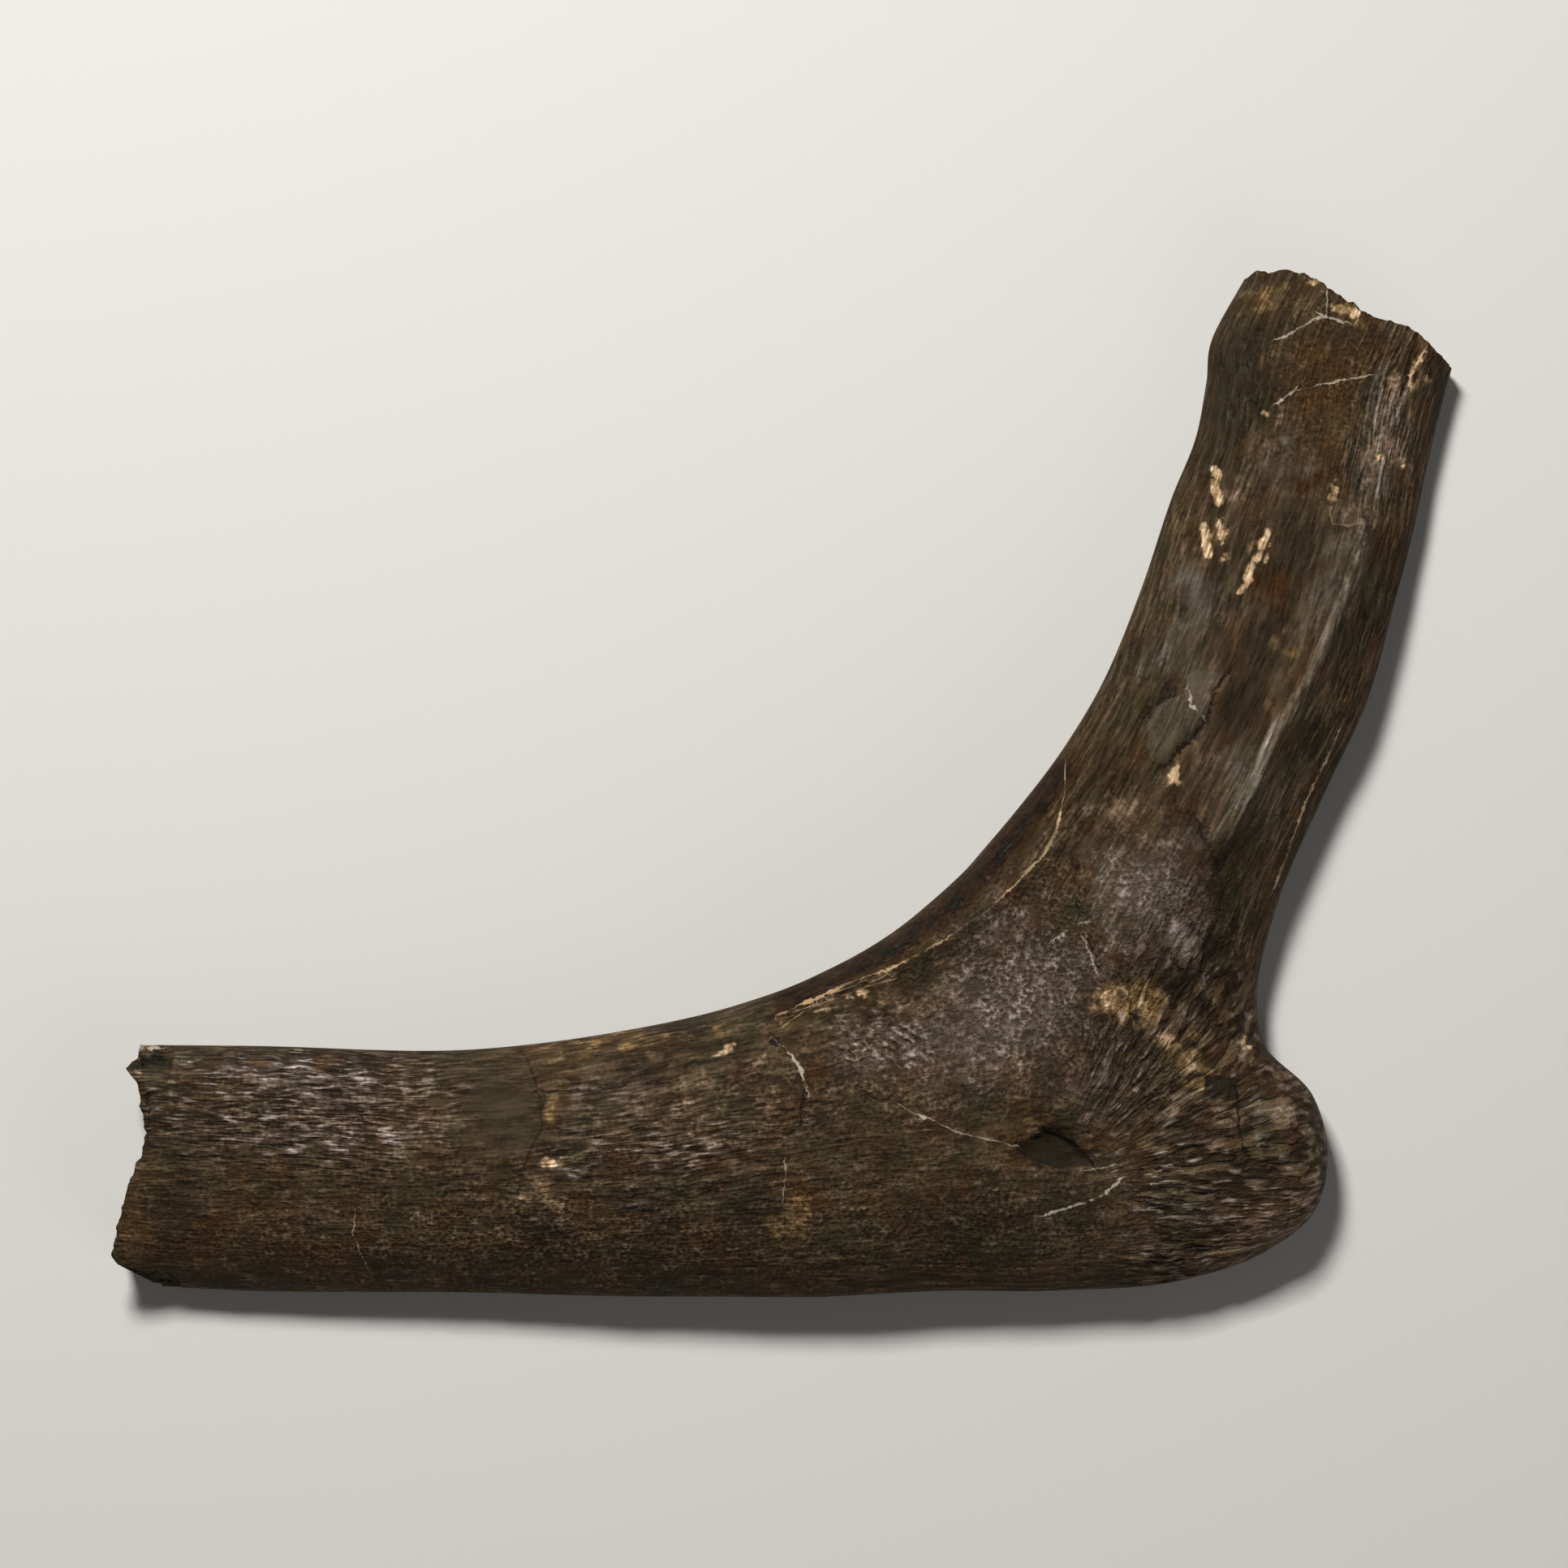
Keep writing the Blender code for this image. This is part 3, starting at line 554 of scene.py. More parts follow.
# The two ends: the row of points that each stands on, its break, its seed and its corners in the map
ENDS = (
    (0, SHAFT_BREAK, 201, ((0.84, 0.18), (0.996, 0.335))),
    (-1, NECK_BREAK, 200, ((0.84, 0.012), (0.996, 0.17))),
)

# The noise: how many random slopes it has each way, and what brings it to about -1 to 1
LATTICE, NOISE_GAIN = 256, 1.5
RIB_MIDDLE = 0.6

# A margin is looked for over one part in this many of the rows, before and after
MARGIN_PARTS = 12

# The least length that is divided by
LEAST_LENGTH = 1e-6


def linear(colour):
    """The linear red, green and blue of an sRGB colour written as a hex string."""
    parts = [int(colour[i : i + 2], 16) / 255 for i in (1, 3, 5)]
    return tuple(p / 12.92 if p <= 0.04045 else ((p + 0.055) / 1.055) ** 2.4 for p in parts)


def smooth(knots, values, at):
    """The cubic curve through the values, whose slope at each comes from its two neighbours."""
    knots = np.asarray(knots, float)
    values = np.asarray(values, float)
    slopes = np.gradient(values, knots, axis=0)
    low = np.clip(np.searchsorted(knots, at, side="right") - 1, 0, len(knots) - 2)
    step = knots[low + 1] - knots[low]
    t = (at - knots[low]) / step
    if values.ndim > 1:
        t, step = t[..., None], step[..., None]
    return (
        (1 + 2 * t) * (1 - t) ** 2 * values[low]
        + t * (1 - t) ** 2 * step * slopes[low]
        + t**2 * (3 - 2 * t) * values[low + 1]
        + t**2 * (t - 1) * step * slopes[low + 1]
    )


def fade_in(values, start, full):
    """0 up to start, 1 from full on, and a smooth step between."""
    t = np.clip((values - start) / (full - start), 0, 1)
    return t * t * (3 - 2 * t)


def rounded(share):
    """A quarter circle: 0 at the margin, 1 from a share of 1 inwards."""
    return np.sqrt(1 - (1 - np.clip(share, 0, 1)) ** 2)


def noise(x, y, seed):
    """Noise from about -1 to 1: whole number pairs have random slopes, and the nearest four blend."""
    turn = np.random.default_rng(seed).uniform(0, 2 * np.pi, (LATTICE, LATTICE))
    slope_x, slope_y = np.cos(turn), np.sin(turn)
    column, row = np.floor(x).astype(int), np.floor(y).astype(int)
    u, v = x - column, y - row
    blend_u, blend_v = (t**3 * (t * (6 * t - 15) + 10) for t in (u, v))
    value = 0
    for i, j in ((0, 0), (1, 0), (0, 1), (1, 1)):
        at = (column + i) % LATTICE, (row + j) % LATTICE
        share = (blend_u if i else 1 - blend_u) * (blend_v if j else 1 - blend_v)
        value = value + share * (slope_x[at] * (u - i) + slope_y[at] * (v - j))
    return NOISE_GAIN * value


def ribbed(x, y, seed):
    """Rounded ribs with sharp valleys between them: twice the size of the noise, less its middle."""
    return 2 * np.abs(noise(x, y, seed)) - RIB_MIDDLE


def summed(x, y, *waves, pattern=noise):
    """The sum of some waves, each drawn as a pattern of its own size, with its finer layers on it."""
    total = 0
    for wave in waves:
        for k in range(wave.layers):
            fine = 2**k
            drawn = pattern(x * fine / wave.length, y * fine / wave.width, wave.seed + k)
            total = total + wave.size / fine * drawn
    return total


def jittered(points, wave):
    """The points, each moved by one wave along x and by its like along y."""
    x, y = points[..., 0], points[..., 1]
    other = wave._replace(seed=wave.seed + JITTER_STEP)
    return points + np.stack([summed(x, y, wave), summed(x, y, other)], -1)


def to_path(points, path):
    """The vector in plan to each point from the nearest place on a path of straight runs, and that run."""
    path = np.asarray(path, float)
    start, run = path[:-1], np.diff(path, axis=0)
    reach = points[..., None, :] - start
    share = np.clip((reach * run).sum(-1) / (run**2).sum(-1), 0, 1)
    gap = reach - share[..., None] * run
    nearest = (gap**2).sum(-1).argmin(-1)
    return np.take_along_axis(gap, nearest[..., None, None], -2)[..., 0, :], run[nearest]


def from_path(points, path):
    """The shortest distance in plan from each point to a path of straight runs."""
    return np.linalg.norm(to_path(points, path)[0], axis=-1)


def from_margin(points, margin):
    """The shortest distance in plan to the margin, looked for a share of the rows before and after."""
    start, run = margin[:-1], np.diff(margin, axis=0)
    rows = np.arange(len(margin))
    nearest = np.full(points.shape[:2], np.inf)
    for offset in range(-len(rows) // MARGIN_PARTS, len(rows) // MARGIN_PARTS + 1):
        at = np.clip(rows + offset, 0, len(run) - 1)
        reach = points - start[at][:, None]
        share = np.clip((reach * run[at][:, None]).sum(-1) / (run[at] ** 2).sum(-1)[:, None], 0, 1)
        gap = reach - share[..., None] * run[at][:, None]
        nearest = np.minimum(nearest, np.linalg.norm(gap, axis=-1))
    return nearest


def outside(points, outline):
    """The distance in plan to an outline, negative inside it: where a ray to the right crosses it an odd
    number of times."""
    ring = np.asarray([*outline, outline[0]], float)
    x, y = points[..., 0], points[..., 1]
    within = np.zeros(x.shape, bool)
    for (ax, ay), (bx, by) in zip(ring[:-1], ring[1:]):
        if ay != by:
            within ^= ((ay > y) != (by > y)) & (x < ax + (bx - ax) * (y - ay) / (by - ay))
    return np.where(within, -1, 1) * from_path(points, ring)


def oval_distance(points, oval):
    """The squared distance from the middle of an oval, measured in its half length and half width."""
    turn = np.radians(oval.turn)
    away = points - oval.middle
    along = away @ (np.cos(turn), np.sin(turn)) / oval.length
    across = away @ (-np.sin(turn), np.cos(turn)) / oval.width
    return along**2 + across**2


def oval_mask(points, ovals, sharp=2):
    """1 in the middle of an oval and 0 well outside: e to minus its squared distance, to a power."""
    found = np.zeros(points.shape[:-1])
    for oval in ovals:
        found = np.maximum(found, oval.strength * np.exp(-(oval_distance(points, oval) ** sharp)))
    return found


def band_mask(points, lines):
    """1 on a line and 0 well off it."""
    found = np.zeros(points.shape[:-1])
    for line in lines:
        off = from_path(points, line.path) / line.half
        found = np.maximum(found, line.strength * np.exp(-(off**2)))
    return found


def line_field(points, lines):
    """The nearest line: how far off it is in its half widths, signed by the side, and how much it shows."""
    closest = np.full(points.shape[:-1], np.inf)
    signed, near = np.zeros(closest.shape), np.zeros(closest.shape)
    for line in lines:
        gap, run = to_path(points, line.path)
        off = np.linalg.norm(gap, axis=-1)
        side = np.where(run[..., 0] * gap[..., 1] > run[..., 1] * gap[..., 0], 1, -1)
        nearer = off < closest
        closest = np.where(nearer, off, closest)
        signed = np.where(nearer, side * off / line.half, signed)
        near = np.where(nearer, line.strength * (1 - fade_in(off, LINE_FULL, LINE_REACH)), near)
    return signed, near


def jag(broken, share, distance):
    """How far a broken end is pushed out: its reach, fading along the bone, and splinters at its rim."""
    at, reach = np.transpose(broken.reach)
    fade, rim = (np.clip(1 - distance / full, 0, 1) ** 2 for full in (broken.fade, SPLINTER_FADE))
    pushed = np.interp(share, at, reach) * fade + rim * summed(share, 0 * distance, SPLINTERS)
    return pushed[..., None] * np.array(broken.facing)


def plan(knots, along, across):
    """The plan point of each place: across is its share of the way from the inner edge to the outer one."""
    inner = smooth(knots, [s.inner for s in SECTIONS], along)
    run = smooth(knots, [s.outer for s in SECTIONS], along) - inner
    square = np.stack([run[..., 1], -run[..., 0]], -1) / np.linalg.norm(run, axis=-1, keepdims=True)
    bow = smooth(knots, [s.bow for s in SECTIONS], along) * 4 * across * (1 - across)
    points = inner + across[..., None] * run + bow[..., None] * square
    return points + jag(SHAFT_BREAK, across, along) + jag(NECK_BREAK, across, knots[-1] - along)


def crested(points, crests):
    """The height that the crests add, highest on each one's line."""
    return sum(c.height * np.exp(-((from_path(points, c.path) / c.width) ** 2)) for c in crests)


def hollowed(points):
    """The depth of the hollows, each an oval bowl."""
    return sum(h.depth * np.exp(-oval_distance(points, h)) for h in HOLLOWS)


def fan_of(points):
    """The fan's own coordinates: millimetres across its strokes and along them. Above its middle the
    strokes point away from it; below it they lie level. At FAN_ROUND off the two are spaced alike."""
    away = points - FAN_MIDDLE
    upper = away[..., 1] > 0
    sideways = np.where(upper, np.arctan2(away[..., 1], away[..., 0]) * FAN_ROUND, away[..., 1])
    return sideways, np.where(upper, np.linalg.norm(away, axis=-1), away[..., 0])


def fan_share(points):
    """1 where the surface has the fan's strokes, and 0 well off it."""
    away = points - FAN_MIDDLE
    angle = np.degrees(np.arctan2(away[..., 1], away[..., 0]))
    out = fan_of(points)[1]
    share = fade_in(out, FAN_START, FAN_FULL) * (1 - fade_in(angle, FAN_SIDE_FULL, FAN_SIDE_END))
    return share * (1 - fade_in(out, FAN_LAST, FAN_END))


def faces_of_bone(knots, along, across):
    """The shown face and the back as smooth grids of points, as the solid has them, each with how far it
    has dropped down a rounded margin towards the widest outline."""
    points = plan(knots, along, across)
    tables = ([s.heights for s in SECTIONS], [s.rounds for s in SECTIONS], [s.lift for s in SECTIONS])
    heights, rounds, lift = (smooth(knots, table, along[:, 0]) for table in tables)
    top = heights @ smooth(HEIGHT_SHARES, np.eye(len(HEIGHT_SHARES)), across[0]).T
    top += crested(points, SHOWN_CRESTS) - hollowed(points)
    top += FAN_HEIGHT * fan_share(points) * np.cos(2 * np.pi * fan_of(points)[0] / FAN_PITCH)
    back = lift[:, None] + BACK_CROWN * (across / BACK_LOWEST - 1) ** 2 - crested(points, BACK_CRESTS)
    back = np.maximum(back, 0)

    edge = back + EDGE_SHARE * (top - back)
    edge = edge[:, :1] + across * (edge[:, -1:] - edge[:, :1])
    to_inner = from_margin(points, points[:, 0]) / rounds[:, :1]
    to_outer = from_margin(points, points[:, -1]) / rounds[:, 1:]
    nearest = np.minimum(to_inner, to_outer)
    shown, under = rounded(nearest), rounded(nearest / BACK_ROUND_SHARE)
    return (
        (np.dstack([points, edge + (top - edge) * shown]), (top - edge) * (1 - shown)),
        (np.dstack([points, edge + (back - edge) * under]), (top - edge) * (1 - under)),
    )


def outward(grid):
    """The unit normals of a grid of points whose columns run across and whose rows run along the bone."""
    normals = np.cross(np.gradient(grid, axis=1), np.gradient(grid, axis=0))
    return normals / np.linalg.norm(normals, axis=-1, keepdims=True)


def laid_flat(grid, drop, side):
    """The places in plan with each rounded margin laid out flat: moved outwards by as much as it drops."""
    way = side * outward(grid)[..., :2]
    length = np.linalg.norm(way, axis=-1, keepdims=True)
    return grid[..., :2] + drop[..., None] * way / np.maximum(length, LEAST_LENGTH)


def flow_of(along, across, drop):
    """Coordinates that follow the bone, in millimetres: along it, and across it and down its margins, with
    a slow wander."""
    sideways = FLOW_WIDTH * (across - 0.5) + drop * np.sign(across - 0.5)
    return along, sideways + summed(along, sideways, *WANDER)


def shown_surface(grid, along, across, drop):
    """What lies on the shown face: each mask and each pair of coordinates that the finish reads."""
    points = grid[..., :2]
    moved = {name: jittered(points, wave) for name, wave in JITTERS.items()}
    on = {"across": across, "flow": flow_of(along, across, drop), "flat": laid_flat(grid, drop, 1)}
    for name, ovals in (STAINS | TEXTURES).items():
        at = moved["blotchy" if name in SMALL_STAINS else "cloudy"]
        on[name] = oval_mask(at, ovals, 2 if name in SHARP_STAINS else 1)
    for name, lines in BANDS.items():
        on[name] = np.maximum(on[name], band_mask(moved["ragged"], lines))
    on["worn"] = band_mask(moved["ragged"], WORN)
    on["fan"] = (*fan_of(on["flat"]), fan_share(points))
    on["crack"] = line_field(moved["ragged"], CRACKS)
    on["seam"] = line_field(moved["thin"], SEAMS)
    on["even"] = moved["even"]
    on["edge"] = line_field(on["even"], EDGES)
    outlines = [patch.outlines for patch in PATCHES.values()]
    on["patch"] = [np.min([outside(on["even"], ring) for ring in rings], 0) for rings in outlines]
    return on


def rim_fade(on, share):
    """0 at the inner and the outer edge, and 1 from a share of the width inwards."""
    return fade_in(np.minimum(on["across"], 1 - on["across"]), 0, share)


def crack_depth(on, spread):
    """1 in the middle of a crack that shows strongly, and 0 well off it."""
    signed, near = on["crack"]
    return near * np.exp(-((signed / spread) ** 2))


def shown_relief(points, on, relief):
    """The height that the relief adds to the shown face, in millimetres."""
    x, y = on["flat"][..., 0], on["flat"][..., 1]
    round_fan, out_fan, fan = on["fan"]
    calm = (1 - on["putty"]) * (1 - POLISH * on["polished"])
    coarse = on["coarse"] * (1 - fan)
    lean = np.radians(SCAR_LEAN)
    up_scar, round_scar = x * np.cos(lean) + y * np.sin(lean), y * np.cos(lean) - x * np.sin(lean)

    fibres = summed(*on["flow"], FIBRE_RIBS, pattern=ribbed) + summed(*on["flow"], FIBRE_WAVES)
    fine = summed(*on["flow"], FINE_RIBS, pattern=ribbed)
    ridges = summed(round_fan, out_fan, *FAN_RIBS, pattern=ribbed)
    grain = summed(x, y, GRAIN_WAVES) - fade_in(summed(x, y, PIT_WAVES), PIT_START, PIT_FULL)
    scar = summed(up_scar, round_scar, SCAR_RIBS, pattern=ribbed)
    layers = (
        (relief.fibre, calm * coarse, fibres),
        (FINE_FIBRES * relief.fibre, calm * (1 - coarse) * (1 - fan), fine),
        (relief.ridge, fan * (1 - FAINTNESS * fade_in(out_fan, FAN_FAINT, FAN_FAINTEST)), ridges),
        (relief.grain, calm * (1 - fan) * (FAINT_GRAIN + (1 - FAINT_GRAIN) * on["grain"]), grain),
        (1, oval_mask(points, [SCAR]), scar),
    )
    height = sum(size * share * pattern for size, share, pattern in layers)
    on["rise"] = height / relief.fibre
    height += relief.lump * (1 - on["polished"]) * summed(x, y, LUMPS)
    height *= rim_fade(on, RIM_SHARE)

    height += crested(on["even"], FINE_CRESTS)
    for flake in FLAKES:
        height += flake.height * (1 - fade_in(outside(on["even"], flake.outline), -flake.soft, flake.soft))
    return height - relief.crack * crack_depth(on, CRACK_SPREAD)


def back_surface(grid, along, across, drop):
    """What lies on the back. No picture shows it, so it has the same fibres and a few broad stains."""
    points = grid[..., :2]
    x, y = points[..., 0], points[..., 1]
    on = {name: np.zeros(x.shape) for name in MASKS}
    for name, (mean, wave) in BACK_TEXTURES.items():
        on[name] = np.clip(mean + summed(x, y, wave), 0, 1)
    for name, (strength, wave, start, full) in BACK_STAINS.items():
        on[name] = strength * fade_in(summed(x, y, wave), start, full)
    on["putty"] = oval_mask(points, [BACK_FILLER])
    on |= {"across": across, "flow": flow_of(along, across, drop)}
    on["fan"] = (*fan_of(laid_flat(grid, drop, -1)), fan_share(points))
    on["crack"] = line_field(points, BACK_CRACKS)
    on["seam"] = on["edge"] = line_field(points, BACK_SEAMS)
    on["patch"] = np.full((len(PATCHES), *x.shape), FAR)
    return on


def back_relief(points, on, relief):
    """The height that the relief adds to the back, in millimetres."""
    x, y = points[..., 0], points[..., 1]
    on["rise"] = on["coarse"] * summed(*on["flow"], BACK_RIBS, pattern=ribbed)
    height = relief.lump * summed(x, y, BACK_LUMPS) + BACK_FIBRES * relief.fibre * on["rise"]
    height += relief.grain * summed(x, y, BACK_GRAIN)
    return (height - relief.crack * crack_depth(on, BACK_CRACK_SPREAD)) * rim_fade(on, BACK_RIM_SHARE)


def broken_end(shown, under, broken, seed):
    """The points of a broken end inside its rim, from the shown face down to the back, and how deep in the
    bone each lies. A dense, smooth rim stands round a dented core of spongy bone."""
    share = np.linspace(0, 1, DOWN + 1)[:-1, None, None]
    face = shown + share * (under - shown)
    thick = np.linalg.norm(shown - under, axis=1)
    inside = np.sin(np.pi * share[..., 0]) * thick / thick.max()
    columns, rows = np.linspace(0, END_WIDTH, face.shape[1]), np.linspace(0, END_THICKNESS, len(face))
    across, down = np.meshgrid(columns, rows)
    lumps, cells = (wave._replace(seed=wave.seed + seed) for wave in (CORE_LUMPS, CORE_CELLS))
    rough = summed(across, down, lumps) + summed(across, down, cells, pattern=ribbed)
    dent = CORE_DENT * inside - CORE_ROUGH * np.sqrt(inside) * rough
    face[..., :2] -= dent[..., None] * np.array(broken.facing)
    return face[1:, 1:-1], inside[1:, 1:-1]


def column_shares(count):
    """Shares across the face that stand evenly round one margin, over the flat and round the other."""
    bend = np.pi / 2 * MARGIN_SHARE
    at = np.linspace(0, 2 * bend + 1 - 2 * MARGIN_SHARE, count + 1)
    half = np.minimum(at, at[::-1])
    round_margin = MARGIN_SHARE * (1 - np.cos(half / MARGIN_SHARE))
    share = np.where(half < bend, round_margin, half - bend + MARGIN_SHARE)
    return np.where(at <= at[-1] / 2, share, 1 - share)


def section_knots():
    """Where each section stands along the bone, in millimetres, as the mean of both edges."""
    edges = np.array([(s.inner, s.outer) for s in SECTIONS])
    steps = np.linalg.norm(np.diff(edges, axis=0), axis=-1).mean(-1)
    return np.concatenate([[0], np.cumsum(steps)])


def places(shape, low, high):
    """Even places in the map for a grid: its rows run to the right from low to high, its columns up."""
    right, up = np.meshgrid(*(np.linspace(a, b, n) for a, b, n in zip(low, high, shape)), indexing="ij")
    return np.stack([right, up], -1)


def with_width(points, corners):
    """The triangles, by point number and by map place, without those that use a point twice."""
    faces = points[..., 0]
    wide = (faces != np.roll(faces, 1, axis=1)).all(1)
    return faces[wide], corners[wide]


def squares(index, places_of):
    """Two triangles for each square of a grid of point numbers, with their map places."""
    found = []
    for grid in (index[..., None], places_of):
        a, b, c, d = grid[:-1, :-1], grid[:-1, 1:], grid[1:, 1:], grid[1:, :-1]
        both = [np.stack(t, -2).reshape(-1, 3, grid.shape[-1]) for t in ((a, b, c), (a, c, d))]
        found.append(np.concatenate(both))
    return with_width(*found)


def sewn(fine, coarse, fine_places, coarse_places):
    """Three triangles for each step of a coarse row of points, which join it to two steps of a fine row."""
    found = []
    for f, c in ((fine[..., None], coarse[..., None]), (fine_places, coarse_places)):
        first, middle, last = f[:-2:2], f[1:-1:2], f[2::2]
        runs = ((first, middle, c[:-1]), (middle, c[1:], c[:-1]), (middle, last, c[1:]))
        found.append(np.concatenate([np.stack(t, -2) for t in runs]))
    return with_width(*found)


def turned(sheet):
    """The same triangles, facing the other way."""
    return sheet[0][:, ::-1], sheet[1][:, ::-1]


def store(mesh, name, kind, field, grids):
    """Gives each point of the mesh a value or a vector by a name that the finish reads."""
    values = np.concatenate([grid.ravel() for grid in grids]).astype(np.float32)
    mesh.attributes.new(name, kind, "POINT").data.foreach_set(field, values)


def as_vectors(grids):
    """Two or three grids of numbers as one grid of vectors."""
    return np.stack([*grids, 0 * grids[0]][:3], -1)


def bone_mesh(relief):
    """The shown face, the back and the two broken ends, each with its relief, sewn along shared points."""
    knots = section_knots()
    along, across = np.meshgrid(np.linspace(0, knots[-1], ALONG + 1), column_shares(ACROSS), indexing="ij")
    face, drop = faces_of_bone(knots, along, across)[0]
    on_shown = shown_surface(face, along, across, drop)
    shown = face + shown_relief(face[..., :2], on_shown, relief)[..., None] * outward(face)

    coarser = np.ix_(range(0, ALONG + 1, 2), range(0, ACROSS + 1, 2))
    face, drop = faces_of_bone(knots, along[coarser], across[coarser])[1]
    on_back = back_surface(face, along[coarser], across[coarser], drop)
    under = face - back_relief(face[..., :2], on_back, relief)[..., None] * outward(face)
    for name in LINES:
        for rim in (0, -1):
            near = np.repeat(on_back[name][1][:, rim], 2)[:-1]
            on_shown[name][1][:, rim] = np.minimum(on_shown[name][1][:, rim], near)
    under[:, 0], under[:, -1] = shown[::2, 0], shown[::2, -1]
    under[..., 2] = np.maximum(under[..., 2], 0)

    points = [shown.reshape(-1, 3), under[:, 1:-1].reshape(-1, 3)]
    shown_index = np.arange(along.size).reshape(along.shape)
    back_index = shown_index[coarser].copy()
    back_index[:, 1:-1] = along.size + np.arange(len(points[1])).reshape(BACK_ALONG + 1, -1)

    sheets = []
    for band, (low, high) in enumerate(SHOWN_BANDS):
        rows = slice(band * BACK_ALONG, (band + 1) * BACK_ALONG + 1)
        sheets.append(squares(shown_index[rows], places((BACK_ALONG + 1, ACROSS + 1), low, high)))
    half = BACK_ALONG // 2
    for band, (low, high) in enumerate(BACK_BANDS):
        part = slice(band * half, (band + 1) * half + 1)
        rows = slice(band * BACK_ALONG, (band + 1) * BACK_ALONG + 1)
        at = places((half + 1, BACK_ACROSS + 1), low, high)
        fine_at = places((BACK_ALONG + 1, 2), low, high)
        sheets.append(turned(squares(back_index[part, 1:-1], at[:, 1:-1])))
        sheets.append(turned(sewn(shown_index[rows, -1], back_index[part, -2], fine_at[:, 1], at[:, -2])))
        sheets.append(sewn(shown_index[rows, 0], back_index[part, 1], fine_at[:, 0], at[:, 1]))

    depths = []
    for row, broken, seed, (low, high) in ENDS:
        under_row = smooth(across[0, ::2], under[row], across[0])
        face, depth = broken_end(shown[row], under_row, broken, seed)
        index = np.tile(shown_index[row], (DOWN, 1))
        index[1:, 1:-1] = sum(map(len, points)) + np.arange(depth.size).reshape(DOWN - 1, -1)
        points.append(face.reshape(-1, 3))
        depths.append(depth.ravel())
        at = places((DOWN + 1, ACROSS + 1), low, high)
        end = [squares(index, at[:-1]), sewn(index[-1], back_index[row], at[-2], at[-1, ::2])]
        sheets += end if row else [turned(sheet) for sheet in end]

    faces, corners = (np.concatenate(parts) for parts in zip(*sheets))
    mesh = bpy.data.meshes.new("fossil_rib")
    mesh.from_pydata((np.concatenate(points) * MM).tolist(), [], faces.tolist())
    mesh.uv_layers.new(name="OFBake").data.foreach_set("uv", corners.astype(np.float32).ravel())

    core = np.minimum(1, CORE_STAIN * np.sqrt(np.concatenate(depths)))
    for name in MASKS:
        rest = core if name == "core" else 0 * core
        store(mesh, name, "FLOAT", "value", [on_shown[name], on_back[name][:, 1:-1], rest])
    end_points = np.concatenate(points[2:])
    on_ends = dict.fromkeys(("fan", *LINES), 0 * end_points)
    on_ends |= {"flow": end_points, "patch": FAR + 0 * end_points}
    for name, rest in on_ends.items():
        back = as_vectors(on_back[name])[:, 1:-1]
        store(mesh, name, "FLOAT_VECTOR", "vector", [as_vectors(on_shown[name]), back, rest])
    mesh.shade_smooth()
    return mesh


def add(tree, kind, inputs=(), **settings):
    """Adds a node with its settings. Each input takes a value, or the output or signal that feeds it."""
    node = tree.nodes.new(kind)
    for name, value in settings.items():
        setattr(node, name, value)
    for name, value in dict(inputs).items():
        value = getattr(value, "socket", value)
        if isinstance(value, bpy.types.NodeSocket):
            tree.links.new(value, node.inputs[name])
        else:
            node.inputs[name].default_value = value
    return node


class Signal:
    """A shader node's output. It takes part in a formula as a number does: each step adds a maths node."""

    def __init__(self, socket):
        self.socket = socket

    def maths(self, operation, *values):
        node = add(self.socket.id_data, "ShaderNodeMath", dict(enumerate(values)), operation=operation)
        return Signal(node.outputs[0])

    def __add__(self, other):
        return self.maths("ADD", self, other)

    def __mul__(self, other):
        return self.maths("MULTIPLY", self, other)

    def __sub__(self, other):
        return self.maths("SUBTRACT", self, other)

    def __rsub__(self, other):
        return self.maths("SUBTRACT", other, self)

    def __abs__(self):
        return self.maths("ABSOLUTE", self)

    __radd__, __rmul__ = __add__, __mul__


def most(first, *others):
    """The greatest of some signals."""
    for other in others:
        first = first.maths("MAXIMUM", first, other)
    return first


def between(share, below, above):
    """One signal or number where the share is 0, another where it is 1."""
    return share * (above - below) + below


# The patterns of the finish: the coordinates that each follows, its size along and across them in
# millimetres, and how many finer layers it has. The finest, the grain, is drawn at 0.5 mm, about twice its
# real size. The noise is spread from the low and the high value to 0 and 1.
PATTERNS = {
    "clouds": ("place", (16, 16), 3),
    "hues": ("place", (9, 9), 4),
    "blotches": ("place", (3.4, 3.4), 5),
    "specks": ("place", (0.9, 0.9), 1.5),
    "grain_bumps": ("place", (0.5, 0.5), 1),
    "streaks": ("flow", (10, 2), 5),
    "fibres": ("flow", (4, 0.7), 1.5),
    "long_fibres": ("flow", (14, 1.1), 2),
    "fan_fibres": ("fan", (0.85, 4.5), 1.5),
    "fan_streaks": ("fan", (1.9, 9), 2),
}
PATTERN_LOW, PATTERN_HIGH = 0.28, 0.72

# The tinges over the two browns: the pattern of each, where it starts and is full, and its strength
TINGES = {
    "reddish": ("hues", 0.55, 1, 0.7),
    "olive": ("hues", 0.45, 0, 0.75),
    "light_brown": ("strokes", 0.35, 1, 0.5),
}

